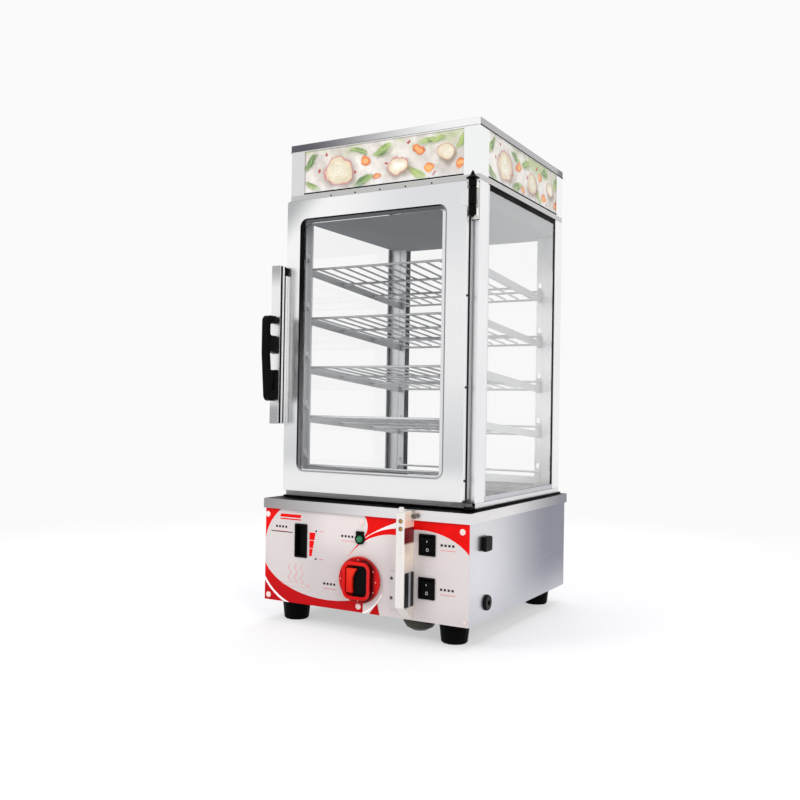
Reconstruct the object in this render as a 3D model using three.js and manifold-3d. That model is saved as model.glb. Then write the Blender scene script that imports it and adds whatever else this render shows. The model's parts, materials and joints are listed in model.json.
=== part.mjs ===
import * as THREE from 'three';
import Module from 'manifold-3d';
import { mergeVertices } from 'three/addons/utils/BufferGeometryUtils.js';

// A counter-top steamer cabinet: a glazed case with five racks over a steel water base.
// Millimetres, +Z up, the door looks to -Y. Pieces are drawn about the centre of the base on the floor.

// Clearances between pieces that touch
const gap = 0.3;
const running = 0.5;

// Steel sheets
const sheet = 1.2;
const heavySheet = 1.5;

// Heights from the floor up
const footHigh = 31;
const baseHigh = 144.6;
const rimHigh = 15;
const sillHigh = 9.8;
const postHigh = 468.4;
const headerHigh = 79.4;
const roofHigh = 10.3;
const baseLow = footHigh;
const casingTop = baseLow + baseHigh;
const rimLow = casingTop + gap;
const rimTop = rimLow + rimHigh;
const caseLow = rimTop + gap;
const sillTop = caseLow + sillHigh;
const postTop = sillTop + gap + postHigh;
const headerLow = postTop + gap;
const headerTop = headerLow + headerHigh;
const roofLow = headerTop + gap;
const roofTop = roofLow + roofHigh;

// Widths and depths of the base and of the rim round its top
const baseWide = 353.4;
const baseDeep = 401.2;
const baseReturn = 16;
const rimStepSide = 3.6;
const rimStepFront = 4.4;
const rimCorner = 4;
const skin = baseDeep / 2;
const rimWide = baseWide + 2 * rimStepSide;
const rimDeep = baseDeep + 2 * rimStepFront;
const panelFaceY = -skin;

// Water tank in the base
const tankInset = 30.7;
const tankInsetFront = 58.6;
const tankInsetBack = 28.6;
const tankRise = 33;
const tankFlange = 9;
const tankHoleMargin = 4;
const gutterHoleMargin = 11;
const tankSide = baseWide / 2 - tankInset;
const tankFront = tankInsetFront - skin;
const tankBack = skin - tankInsetBack;
const tankLow = baseLow + tankRise;

// Feet
const footInset = 37.7;
const footInsetFront = 35.6;
const footTopRadius = 22.5;
const footLowRadius = 19.5;
const footEdge = 2;
const footX = baseWide / 2 - footInset;
const footY = skin - footInsetFront;

// Glazed case over the base
const caseStepSide = 9.2;
const caseStepFront = 38.6;
const caseStepBack = 5.6;
const caseCorner = 2;
const postWide = 26;
const frontPostDeep = 32;
const backPostDeep = 31;
const caseSide = baseWide / 2 - caseStepSide;
const caseFront = caseStepFront - skin;
const caseBack = skin - caseStepBack;
const postInner = caseSide - postWide;
const frontPostBack = caseFront + frontPostDeep;
const backPostFront = caseBack - backPostDeep;

// Header, roof and ceiling
const stripHigh = 8.4;
const headerRail = 1.8;
const roofOver = 0.5;
const roofOverFront = 1.5;
const roofCorner = 3;
const ceilingDrop = 30;
const gasketSunk = 2;
const gasketThick = 4.5;
const ceilingInset = 7.3;
const stripTop = headerLow + stripHigh;
const headerWindowTop = headerTop - headerRail;
const roofSide = caseSide + roofOver;
const roofFront = caseFront - roofOverFront;
const roofBack = caseBack;
const ceilingLow = headerLow - ceilingDrop;
const ceilingSide = caseSide - ceilingInset;

// Racks: evenly spaced between the lowest one and the room over the top one
const rackCount = 5;
const rackRise = 41.1;
const headroom = 81.5;
const rackFall = 24;
const rackBand = 12;
const rackPlay = 2.3;
const wireRadius = 1.5;
const barHalf = 1.9;
const wireCount = 11;
const wireMargin = 19.2;
const slotRise = 19;
const slotHalf = 7;
const slotWide = 5;
const hookWide = 3;
const hookHigh = 5;
const flangeReach = 11.5;
const hookInset = 5.8;
const frontFlangeInset = 11;
const backFlangeInset = 2.2;
const rackEnd = 4;
const rackLowest = sillTop + rackRise;
const rackPitch = (ceilingLow - headroom - rackLowest) / (rackCount - 1);
const rackHeights = Array.from(
  { length: rackCount },
  (_, step) => rackLowest + (rackCount - 1 - step) * rackPitch,
);
const rackSide = postInner - rackPlay;
const wirePitch = 2 * (rackSide - wireMargin) / (wireCount - 1);
const flangeInner = postInner - flangeReach;
const hookX = postInner - hookInset;
const frontFlangeY = caseFront + frontFlangeInset;
const backFlangeY = backPostFront + backFlangeInset;
const rackFront = frontFlangeY + rackEnd;
const rackBack = backFlangeY - rackEnd + gap;

// Door
const doorStand = 18;
const doorInsetLeft = 7.5;
const doorInsetRight = 11.5;
const doorRise = 2;
const doorDrop = 5;
const doorCorner = 4;
const doorFold = 7;
const stileLeft = 25.2;
const stileRight = 32.2;
const railLow = 31.4;
const railTop = 30;
const windowCorner = 13;
const sealWide = 22;
const sealInset = 2;
const doorFront = caseFront - doorStand;
const doorLeft = doorInsetLeft - caseSide;
const doorRight = caseSide - doorInsetRight;
const doorLow = sillTop + doorRise;
const doorTop = headerLow - doorDrop;
const windowLeft = doorLeft + stileLeft;
const windowRight = doorRight - stileRight;
const windowLow = doorLow + railLow;
const windowTop = doorTop - railTop;

// Hinge axis
const hingeInset = 2.5;
const hingeStand = 2;
const pinRadius = 2.2;
const knuckleRadius = 6;
const hingeX = caseSide - hingeInset;
const hingeY = doorFront - hingeStand;

// Handle channel and grip
const channelOut = 14;
const channelLap = 3;
const channelProud = 20;
const channelRise = 106;
const channelDrop = 105;
const gripThick = 14;
const gripMargin = 1.5;
const gripProud = 28;
const gripBar = 8;
const channelLeft = doorLeft - channelOut;
const channelRight = doorLeft + channelLap;
const channelFront = doorFront - channelProud;
const channelLow = doorLow + channelRise;
const channelTop = doorTop - channelDrop;
const gripLeft = channelLeft + gripMargin;
const gripRight = gripLeft + gripThick;
const gripFront = channelFront - gripProud;
const gripInner = gripFront + gripBar;

// Controls on the front panel; shares are of half its width
const knobRise = 49;
const columnPlaceShare = 0.4244;
const rockerPlaceShare = 0.6293;
const rockerRises = [110.5, 48.5];
const rockerWide = 26.5;
const rockerHigh = 31;
const lampLeft = 0.9;
const lampRise = 109.5;
const knobX = 0;
const knobZ = baseLow + knobRise;
const rockerX = knobX + rockerPlaceShare * baseWide / 2;
const rockerHeights = rockerRises.map((rise) => baseLow + rise);
const lampX = knobX - lampLeft;
const lampZ = baseLow + lampRise;

// Shapes in a plane: front looks along +Y, side looks along -X, plan looks down
const xAxis = new THREE.Vector3(1, 0, 0);
const yAxis = new THREE.Vector3(0, 1, 0);
const zAxis = new THREE.Vector3(0, 0, 1);
const planes = {
  front: new THREE.Matrix4().makeBasis(xAxis, zAxis, yAxis.clone().negate()),
  side: new THREE.Matrix4().makeBasis(yAxis, zAxis, xAxis),
  plan: new THREE.Matrix4(),
};

// Half the straight steps in a rounded corner
const cornerSteps = 3;

const wasm = await Module();
wasm.setup();

// A closed three.js geometry as a solid that can be joined and cut
function solid(geometry) {
  const bare = geometry.index ? geometry.toNonIndexed() : geometry;
  bare.deleteAttribute('normal');
  bare.deleteAttribute('uv');
  const merged = mergeVertices(bare);
  const corners = merged.index.array;
  const kept = [];
  for (let first = 0; first < corners.length; first += 3) {
    const [a, b, c] = corners.slice(first, first + 3);
    if (a !== b && b !== c && c !== a) kept.push(a, b, c);
  }
  return new wasm.Manifold(new wasm.Mesh({
    numProp: 3,
    vertProperties: new Float32Array(merged.attributes.position.array),
    triVerts: new Uint32Array(kept),
  }));
}

function geometryOf(body) {
  const mesh = body.getMesh();
  const geometry = new THREE.BufferGeometry();
  geometry.setAttribute('position', new THREE.BufferAttribute(new Float32Array(mesh.vertProperties), 3));
  geometry.setIndex(new THREE.BufferAttribute(new Uint32Array(mesh.triVerts), 1));
  const flat = geometry.toNonIndexed();
  flat.computeVertexNormals();
  return flat;
}

// An outline pushed out from low to high along the third axis of its plane, with softened edges
function slab(outline, plane, low, high, edge = 0) {
  const geometry = new THREE.ExtrudeGeometry(outline, {
    depth: high - low - 2 * edge,
    bevelEnabled: edge > 0,
    bevelThickness: edge,
    bevelSize: edge,
    bevelOffset: -edge,
    bevelSegments: 1,
    curveSegments: cornerSteps,
  });
  geometry.translate(0, 0, edge);
  geometry.applyMatrix4(planes[plane]);
  if (plane === 'front') geometry.translate(0, high, 0);
  if (plane === 'side') geometry.translate(low, 0, 0);
  if (plane === 'plan') geometry.translate(0, 0, low);
  return solid(geometry);
}

function block(left, right, front, back, low, top) {
  const geometry = new THREE.BoxGeometry(right - left, back - front, top - low);
  geometry.translate((left + right) / 2, (front + back) / 2, (low + top) / 2);
  return solid(geometry);
}

function rectangle(left, right, low, top, radius = 0) {
  const shape = new THREE.Shape();
  if (radius === 0) {
    shape.moveTo(left, low);
    shape.lineTo(right, low);
    shape.lineTo(right, top);
    shape.lineTo(left, top);
    shape.closePath();
    return shape;
  }
  const quarter = Math.PI / 2;
  shape.absarc(right - radius, low + radius, radius, -quarter, 0);
  shape.absarc(right - radius, top - radius, radius, 0, quarter);
  shape.absarc(left + radius, top - radius, radius, quarter, 2 * quarter);
  shape.absarc(left + radius, low + radius, radius, 2 * quarter, 3 * quarter);
  shape.closePath();
  return shape;
}

function polygon(points) {
  return new THREE.Shape(points.map(([u, v]) => new THREE.Vector2(u, v)));
}

// A straight round rod between two points
function rod(start, end, radius, sides = 12) {
  const from = new THREE.Vector3(...start);
  const along = new THREE.Vector3(...end).sub(from);
  const geometry = new THREE.CylinderGeometry(radius, radius, along.length(), sides);
  const middle = from.clone().addScaledVector(along, 1 / 2);
  geometry.applyQuaternion(new THREE.Quaternion().setFromUnitVectors(yAxis, along.clone().normalize()));
  geometry.translate(middle.x, middle.y, middle.z);
  return solid(geometry);
}

// A turned piece; the profile is a list of radius and height, its axis turned to the given direction
function turned(profile, centre, direction = zAxis, segments = 24) {
  const points = profile.map(([radius, height]) => new THREE.Vector2(radius, height));
  const geometry = new THREE.LatheGeometry(points, segments);
  geometry.applyQuaternion(new THREE.Quaternion().setFromUnitVectors(yAxis, direction));
  geometry.translate(...centre);
  return solid(geometry);
}

function joined(bodies) {
  return bodies.reduce((whole, body) => whole.add(body));
}

// The left and right ends of a stretch that lies between near and far on one side of the middle
function sided(side, near, far) {
  return side > 0 ? [near, far] : [-far, -near];
}

// Materials
function finish(color, roughness, metalness, opacity = 1) {
  return new THREE.MeshStandardMaterial({
    color,
    roughness,
    metalness,
    opacity,
    transparent: opacity < 1,
  });
}

const steel = () => finish(0xc9cbcd, 0.32, 0.95);
const bright = () => finish(0xe4e6e8, 0.12, 1);
const greySteel = () => finish(0x9c9fa2, 0.4, 0.9);
const glass = () => finish(0xe8f2f4, 0.05, 0, 0.3);
const rubber = () => finish(0x141414, 0.75, 0);
const blackPlastic = () => finish(0x17181a, 0.42, 0);
const redPlastic = () => finish(0xc8181c, 0.35, 0);
const greenLens = () => finish(0x1d7a45, 0.25, 0);
const printed = () => finish(0xe9dfc8, 0.5, 0);
const panelFace = () => finish(0xd8d6d6, 0.35, 0.7);
const lampWhite = () => finish(0xf6f3ea, 0.4, 0);

const cabinet = new THREE.Group();

function place(name, body, material) {
  const mesh = new THREE.Mesh(geometryOf(body), material);
  mesh.name = name;
  cabinet.add(mesh);
  return mesh;
}

// Roof cap: a shallow pan turned upside down
function roofCap() {
  const outline = rectangle(-roofSide, roofSide, roofFront, roofBack, roofCorner);
  const pan = slab(outline, 'plan', roofLow, roofTop, gap);
  const under = roofTop - heavySheet;
  const side = roofSide - heavySheet;
  return pan.subtract(block(-side, side, roofFront + heavySheet, roofBack - heavySheet, 0, under));
}

// Header casing: a light box with a picture window in the front and in each side
const windowMargin = 26.5;
const stripHoleRadius = 1.5;
const stripHoleRise = 2.1;
const stripHoleZ = headerLow + stripHoleRise;
const stripHolePitch = 44.6;
const stripHoles = [-2, -1, 0, 1, 2];
const sideWindowInset = 31;
const sideWindowFront = caseFront + sideWindowInset;
const sideWindowBack = caseBack - sideWindowInset;
const headerWeb = 30;

function headerCasing() {
  const outline = rectangle(-caseSide, caseSide, caseFront, caseBack, caseCorner);
  const inner = caseSide - heavySheet;
  const webHole = caseSide - headerWeb;
  const windowSide = caseSide - windowMargin;
  const cuts = [
    block(-inner, inner, caseFront + heavySheet, caseBack - heavySheet, headerLow + heavySheet, roofTop),
    block(-webHole, webHole, caseFront + headerWeb, caseBack - headerWeb, 0, roofTop),
    block(-windowSide, windowSide, caseFront - sheet, caseFront + headerWeb, stripTop, headerWindowTop),
    block(-roofSide, roofSide, sideWindowFront, sideWindowBack, stripTop, headerWindowTop),
  ];
  for (const step of stripHoles) {
    const x = step * stripHolePitch;
    const from = [x, caseFront - sheet, stripHoleZ];
    const to = [x, caseFront + sheet, stripHoleZ];
    cuts.push(rod(from, to, stripHoleRadius, 8));
  }
  return cuts.reduce((body, cut) => body.subtract(cut), slab(outline, 'plan', headerLow, headerTop));
}

// Picture panels behind the windows
const pictureThick = 2;
const pictureLap = 4;
const pictureLow = stripTop - pictureLap;
const pictureTop = headerTop - gap;

function frontPicture() {
  const side = caseSide - windowMargin + pictureLap;
  const front = caseFront + heavySheet + gap;
  return block(-side, side, front, front + pictureThick, pictureLow, pictureTop);
}

function sidePicture(side) {
  const outer = caseSide - heavySheet - gap;
  const front = sideWindowFront - pictureLap;
  const back = sideWindowBack + pictureLap;
  return block(...sided(side, outer - pictureThick, outer), front, back, pictureLow, pictureTop);
}

// Ceiling tray: closes the case under the header, with notches for the posts
const trayFront = caseFront + gap;
const trayBack = caseBack - gasketSunk - gasketThick - gap;

function ceilingOutline(inset) {
  const wide = ceilingSide - inset;
  const narrow = postInner - gap - inset;
  const front = frontPostBack + gap + inset;
  const back = backPostFront - gap - inset;
  const first = trayFront + inset;
  const last = trayBack - inset;
  return polygon([
    [-narrow, first], [narrow, first], [narrow, front], [wide, front],
    [wide, back], [narrow, back], [narrow, last], [-narrow, last],
    [-narrow, back], [-wide, back], [-wide, front], [-narrow, front],
  ]);
}

function ceilingTray() {
  const tray = slab(ceilingOutline(0), 'plan', ceilingLow, postTop);
  return tray.subtract(slab(ceilingOutline(sheet), 'plan', ceilingLow + sheet, roofTop));
}

// Lamp fitting on the ceiling tray
const lampMargin = 31.5;
const lampReach = caseSide - lampMargin;
const battenHalf = 18;
const battenHigh = 22;
const battenTop = ceilingLow + battenHigh;
const tubeRadius = 13;
const tubeRise = 66;
const tubeZ = ceilingLow + tubeRise;
const holderOver = 18;
const holderTop = tubeZ + holderOver;
const holderThick = 12;

function lampBatten() {
  const low = ceilingLow + sheet + gap;
  const base = block(-lampReach, lampReach, -battenHalf, battenHalf, low, battenTop);
  const left = block(-lampReach, holderThick - lampReach, -battenHalf, battenHalf, low, holderTop);
  const right = block(lampReach - holderThick, lampReach, -battenHalf, battenHalf, low, holderTop);
  return joined([base, left, right]);
}

function lampTube() {
  const reach = lampReach - holderThick - gap;
  return rod([-reach, 0, tubeZ], [reach, 0, tubeZ], tubeRadius, 16);
}

// Corner posts: folded boxes with a slotted flange that carries the racks
const flangeRise = 3;
const flangeLow = sillTop + flangeRise;
const flangeTop = ceilingLow - running;

function cornerPost(side, isFront) {
  const front = isFront ? caseFront : backPostFront;
  const back = isFront ? frontPostBack : caseBack;
  const inner = postInner;
  const low = sillTop + gap;
  const [left, right] = sided(side, inner, caseSide);
  const column = slab(rectangle(left, right, front, back, caseCorner), 'plan', low, postTop);
  const hollow = block(left + sheet, right - sheet, front + sheet, back - sheet, 0, roofTop);
  const flangeY = isFront ? frontFlangeY : backFlangeY;
  const flange = block(
    ...sided(side, flangeInner, inner + sheet / 2), flangeY - sheet, flangeY, flangeLow, flangeTop,
  );
  const fall = isFront ? 0 : rackFall;
  const slots = rackHeights.map((height) => {
    const middle = height - fall + slotRise;
    const edges = sided(side, hookX - slotWide / 2, hookX + slotWide / 2);
    return block(...edges, flangeY - 2 * sheet, flangeY + sheet, middle - slotHalf, middle + slotHalf);
  });
  return column.subtract(hollow).add(flange.subtract(joined(slots)));
}

// Sill ring under the posts, an open channel with a threshold behind the door
const thresholdHigh = 27;
const thresholdTop = sillTop + thresholdHigh;

function sill() {
  const wide = postInner;
  const front = frontPostBack;
  const back = backPostFront;
  const outline = rectangle(-caseSide, caseSide, caseFront, caseBack, caseCorner);
  const whole = slab(outline, 'plan', caseLow, sillTop);
  const hole = block(-wide, wide, front, back, 0, roofTop);
  const roof = sillTop - sheet;
  const core = block(
    sheet - caseSide, caseSide - sheet, caseFront + sheet, caseBack - sheet, 0, roof,
  ).subtract(block(-wide - sheet, wide + sheet, front - sheet, back + sheet, 0, roofTop));
  const threshold = block(
    gap - wide, wide - gap, caseFront, caseFront + sheet, sillTop - sheet, thresholdTop,
  );
  return whole.subtract(hole).subtract(core).add(threshold);
}

// Glass panes in their gaskets
const gasketWide = 8;
const gasketOuter = caseSide - gasketSunk;
const gasketInner = gasketOuter - gasketThick;
const backGasketBack = caseBack - gasketSunk;
const backGasketFront = backGasketBack - gasketThick;
const paneLow = sillTop + gap;
const paneTop = postTop;

function gasketRing(left, right, plane, low, high) {
  const ring = slab(rectangle(left, right, paneLow, paneTop), plane, low, high);
  const opening = rectangle(
    left + gasketWide, right - gasketWide, paneLow + gasketWide, paneTop - gasketWide,
  );
  return ring.subtract(slab(opening, plane, low - sheet, high + sheet));
}

function pane(left, right, plane, low, high) {
  const inset = gasketWide + gap;
  const outline = rectangle(left + inset, right - inset, paneLow + inset, paneTop - inset);
  return slab(outline, plane, low + gap, high - gap);
}

function sideGlazing(build, side) {
  const front = frontPostBack + gap;
  const back = backPostFront - gap;
  return build(front, back, 'side', ...sided(side, gasketInner, gasketOuter));
}

function backGlazing(build) {
  const wide = postInner - gap;
  return build(-wide, wide, 'front', backGasketFront, backGasketBack);
}

// Rack: round wires over cross bars between two side bands with a hook at each corner
const bandBelow = 9;
const bandThick = 1.5;
const crossBarShares = [0, 1 / 3, 2 / 3, 1];
const backRailRise = 13;
const wireEnd = 3;

function rack(height) {
  const run = rackBack - rackFront;
  const level = (y) => height - rackFall * (y - rackFront) / run;
  const front = frontFlangeY + gap;
  const back = backFlangeY - sheet - gap;
  const pieces = [];
  const barDrop = wireRadius + barHalf - gap;
  for (const share of crossBarShares) {
    const y = rackFront + share * run;
    const z = level(y) - barDrop;
    pieces.push(block(-rackSide, rackSide, y - barHalf, y + barHalf, z - barHalf, z + barHalf));
  }
  const railZ = level(rackBack) + backRailRise - barHalf;
  pieces.push(block(
    -rackSide, rackSide, rackBack - barHalf, rackBack + barHalf, railZ - barHalf, railZ + barHalf,
  ));
  for (let index = 0; index < wireCount; index += 1) {
    const x = (index - (wireCount - 1) / 2) * wirePitch;
    const start = rackFront - wireEnd;
    const end = rackBack;
    pieces.push(rod([x, start, level(start)], [x, end, level(end)], wireRadius, 6));
  }
  const bandTop = rackBand - bandBelow;
  const band = polygon([
    [front, level(front) - bandBelow], [back, level(back) - bandBelow],
    [back, level(back) + backRailRise], [back - rackBand, level(back) + backRailRise],
    [back - 2 * rackBand, level(back - 2 * rackBand) + bandTop],
    [front + 2 * rackBand, level(front + 2 * rackBand) + bandTop],
    [front + rackBand / 2, height + slotRise], [front, height + slotRise],
  ]);
  for (const side of [-1, 1]) {
    pieces.push(slab(band, 'side', ...sided(side, rackSide - bandThick, rackSide)));
    pieces.push(...hookAt(side, height, front, -1));
    pieces.push(...hookAt(side, height - rackFall, back, 1));
  }
  return joined(pieces);
}

// The end plate of a side band and the tab that goes through the slot in the post's flange
const hookReach = 6;

function hookAt(side, height, face, direction) {
  const plate = [face, face - direction * bandThick].sort((a, b) => a - b);
  const tab = [face - direction * bandThick, face + direction * hookReach].sort((a, b) => a - b);
  const slotLow = height + slotRise - slotHalf;
  const inner = hookX - hookWide / 2;
  const tabLow = slotLow + gap;
  return [
    block(...sided(side, inner, rackSide), ...plate, height - bandBelow, tabLow + hookHigh),
    block(...sided(side, inner, inner + hookWide), ...tab, tabLow, tabLow + hookHigh),
  ];
}

// Door: a folded steel frame round a large window
const doorGasketSide = 7;
const doorGasketLow = 4;
const doorGlassSunk = 2.5;
const doorGlassFront = doorFront + doorGlassSunk;
const doorGlassThick = 4;
const doorGlassBack = doorGlassFront + doorGlassThick;
const doorGasketSunk = 0.8;
const doorGasketFront = doorFront + doorGasketSunk;
const doorGasketThick = 6.7;
const doorGasketBack = doorGasketFront + doorGasketThick;
const foldWide = 12;

function doorWindow(inset, low = inset) {
  const corner = windowCorner - inset;
  return rectangle(windowLeft + inset, windowRight - inset, windowLow + low, windowTop - inset, corner);
}

function doorFrame() {
  const back = doorFront + doorFold;
  const outline = rectangle(doorLeft, doorRight, doorLow, doorTop, doorCorner);
  const frame = slab(outline, 'front', doorFront, back, gap);
  const windowCut = slab(doorWindow(0), 'front', doorFront - sheet, back + sheet);
  const core = slab(
    rectangle(doorLeft + sheet, doorRight - sheet, doorLow + sheet, doorTop - sheet, doorCorner - sheet),
    'front', doorFront + sheet, back - sheet,
  ).subtract(slab(doorWindow(-sheet), 'front', doorFront, back));
  const backCut = slab(
    rectangle(doorLeft + foldWide, doorRight - foldWide, doorLow + foldWide, doorTop - foldWide, doorCorner),
    'front', back - 2 * sheet, back + sheet,
  ).subtract(slab(doorWindow(-sheet), 'front', doorFront, back + 2 * sheet));
  return frame.subtract(windowCut).subtract(core).subtract(backCut);
}

function doorGasket() {
  const ring = slab(doorWindow(gap), 'front', doorGasketFront, doorGasketBack);
  const hole = slab(doorWindow(doorGasketSide, doorGasketLow), 'front', doorFront, doorFront + 2 * doorFold);
  return ring.subtract(hole);
}

function doorGlass() {
  const inset = doorGasketSide + gap;
  return slab(doorWindow(inset, doorGasketLow + gap), 'front', doorGlassFront, doorGlassBack);
}

function doorSeal() {
  const left = doorLeft + sealInset;
  const right = doorRight;
  const low = doorLow + sealInset;
  const top = doorTop - sealInset;
  const front = doorFront + doorFold + gap;
  const ring = slab(rectangle(left, right, low, top, doorCorner), 'front', front, caseFront - gap);
  const hole = rectangle(left + sealWide, right - sealWide, low + sealWide, top - sealWide, windowCorner);
  return ring.subtract(slab(hole, 'front', front - sheet, caseFront));
}

// Hinges: the fixed halves stand on the case, the moving halves on the door
const finialOver = 13;
const pinTop = doorTop + finialOver;
const pinBelow = 53;
const leafBelow = 54;
const leafLow = doorTop - leafBelow;
const pinLow = doorTop - pinBelow;
const fixedKnuckleBelow = 51.5;
const fixedKnuckleLow = doorTop - fixedKnuckleBelow;
const fixedKnuckleHigh = 14;
const fixedKnuckleTop = fixedKnuckleLow + fixedKnuckleHigh;
const movingKnuckleLow = fixedKnuckleTop + running;
const movingKnuckleHigh = 26.5;
const movingKnuckleTop = movingKnuckleLow + movingKnuckleHigh;
const capLow = movingKnuckleTop + running;
const capHigh = 11;
const capTop = capLow + capHigh;
const finialLow = capTop;
const finialRadius = 3.4;
const leafHalf = 8.5;
const leafInner = hingeX - leafHalf;
const leafOver = 2.2;
const leafOuter = hingeX + leafOver;
const leafFace = caseFront - gap - sheet;
const armHalf = 3;
const armReach = 19;
const armDoorInner = hingeX - armReach;
const lowPlateThick = 3.8;
const shoeThick = 4.1;
const lowPlateLow = doorLow - shoeThick - 2 * gap - lowPlateThick;
const lowPlateTop = lowPlateLow + lowPlateThick;
const shoeTop = doorLow - gap;
const shoeReach = 25;
const shoeInner = hingeX - shoeReach;
const lowPinTop = shoeTop - sheet;
const shoeDeep = 8;
const shoeBack = hingeY + shoeDeep;

function hingeTopFixed() {
  const caseFace = caseFront - gap;
  const leaf = block(leafInner, leafOuter, leafFace, caseFace, leafLow, capTop);
  const arm = block(hingeX - armHalf, leafOuter, hingeY, caseFace, fixedKnuckleLow, fixedKnuckleTop);
  const knuckle = rod([hingeX, hingeY, fixedKnuckleLow], [hingeX, hingeY, fixedKnuckleTop], knuckleRadius);
  const cap = block(hingeX - knuckleRadius, leafOuter, hingeY - knuckleRadius, caseFace, capLow, capTop);
  const pin = rod([hingeX, hingeY, pinLow], [hingeX, hingeY, pinTop], pinRadius);
  const finial = rod([hingeX, hingeY, finialLow], [hingeX, hingeY, pinTop - sheet], finialRadius);
  return joined([leaf, arm, knuckle, cap, pin, finial]);
}

function hingeTopMoving() {
  const knuckle = rod([hingeX, hingeY, movingKnuckleLow], [hingeX, hingeY, movingKnuckleTop], knuckleRadius);
  const low = movingKnuckleLow;
  const top = movingKnuckleTop;
  const arm = block(armDoorInner, hingeX, doorFront - sheet - gap, doorFront - gap, low, top);
  const bore = rod([hingeX, hingeY, low - sheet], [hingeX, hingeY, top + sheet], pinRadius + gap);
  return knuckle.add(arm).subtract(bore);
}

function hingeLowFixed() {
  const caseFace = caseFront - gap;
  const inner = hingeX - knuckleRadius;
  const plate = block(inner, leafOuter, hingeY, caseFace, lowPlateLow, lowPlateTop);
  const round = rod([hingeX, hingeY, lowPlateLow], [hingeX, hingeY, lowPlateTop], knuckleRadius);
  const footLow = rimTop + beadHigh + gap;
  const foot = block(leafInner, leafOuter, leafFace, caseFace, footLow, sillTop);
  const pin = rod([hingeX, hingeY, lowPlateLow], [hingeX, hingeY, lowPinTop], pinRadius);
  return joined([plate, round, foot, pin]);
}

function hingeLowMoving() {
  const low = lowPlateTop + gap;
  const shoe = block(shoeInner, hingeX, hingeY - armHalf, shoeBack, low, shoeTop);
  const round = rod([hingeX, hingeY, low], [hingeX, hingeY, shoeTop], knuckleRadius);
  const bore = rod([hingeX, hingeY, low - sheet], [hingeX, hingeY, lowPinTop + gap], pinRadius + gap);
  return shoe.add(round).subtract(bore);
}

// Handle: a folded channel on the door's edge and a black grip on it
function handleChannel() {
  const back = doorFront - gap;
  const whole = block(channelLeft, channelRight, channelFront, back, channelLow, channelTop);
  const inside = block(
    channelLeft + heavySheet, channelRight - heavySheet, channelFront + heavySheet, 0, 0, roofTop,
  );
  return whole.subtract(inside);
}

const gripRise = 36;
const gripLow = channelLow + gripRise;
const gripHigh = 134;
const gripTop = gripLow + gripHigh;
const topFootHigh = 9.4;
const gripTopInner = gripTop - topFootHigh;
const gripCorner = 6;
const frontCorner = 9;
const gripLean = 6;
const gripSoft = 2;
const middleFootRise = 74.7;
const middleFootLow = gripLow + middleFootRise;
const middleFootHigh = 28;
const middleFootTop = middleFootLow + middleFootHigh;
const footRound = 3;
const gripEndHigh = 12;
const upperHoleTop = gripTop - gripEndHigh;
const middleSlope = 6.7;
const upperHoleLow = middleFootTop - middleSlope;
const lowerHoleTop = middleFootLow;
const tipBar = 8;
const lowerHoleFront = gripFront + gripLean + tipBar;
const tipGap = 6.5;
const lowerHoleBack = lowerHoleFront + tipGap;
const tipHigh = 14;
const lowerHoleLow = gripLow + tipHigh;
const prongHigh = 49;
const prongTop = gripLow + prongHigh;
const gripBack = channelFront - gap;

function handleGrip() {
  const outline = new THREE.Shape();
  const quarter = Math.PI / 2;
  const toe = gripFront + gripLean;
  outline.absarc(toe + frontCorner, gripLow + frontCorner, frontCorner, 2 * quarter, 3 * quarter);
  outline.lineTo(gripBack - gripCorner, gripLow);
  outline.absarc(gripBack - gripCorner, gripLow + gripCorner, gripCorner, -quarter, 0);
  outline.lineTo(gripBack, prongTop);
  outline.lineTo(lowerHoleBack + footRound, prongTop);
  outline.lineTo(lowerHoleBack, lowerHoleLow + footRound);
  outline.lineTo(lowerHoleBack - footRound, lowerHoleLow);
  outline.lineTo(lowerHoleFront, lowerHoleLow + footRound);
  outline.lineTo(gripInner, lowerHoleTop);
  outline.lineTo(gripInner + footRound, middleFootLow + footRound);
  outline.lineTo(gripBack, middleFootLow);
  outline.lineTo(gripBack, upperHoleLow);
  outline.lineTo(gripBack - footRound, middleFootTop);
  outline.lineTo(gripInner + footRound, middleFootTop);
  outline.lineTo(gripInner, middleFootTop + footRound);
  outline.lineTo(gripInner, upperHoleTop - footRound);
  outline.lineTo(gripInner + footRound, upperHoleTop);
  outline.lineTo(gripBack - footRound, upperHoleTop);
  outline.lineTo(gripBack, gripTopInner);
  outline.lineTo(gripBack, gripTop - gripCorner);
  outline.absarc(gripBack - gripCorner, gripTop - gripCorner, gripCorner, 0, quarter);
  outline.absarc(gripFront + frontCorner, gripTop - frontCorner, frontCorner, quarter, 2 * quarter);
  outline.lineTo(gripFront, middleFootLow);
  outline.closePath();
  return slab(outline, 'side', gripLeft, gripRight, gripSoft);
}

// Base casing: three walls and two folded returns behind the front panel
const panelThick = 1.2;
const casingFront = panelThick + gap - skin;
const ventHalf = 3;
const ventReach = 30;
const ventDrop = 55.6;
const ventLow = casingTop - ventDrop;
const ventPitch = 12;
const ventCount = 4;
const glandInset = 61.6;
const glandY = glandInset - skin;
const glandRise = 26;
const glandZ = baseLow + glandRise;
const glandNeck = 7;

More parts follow.
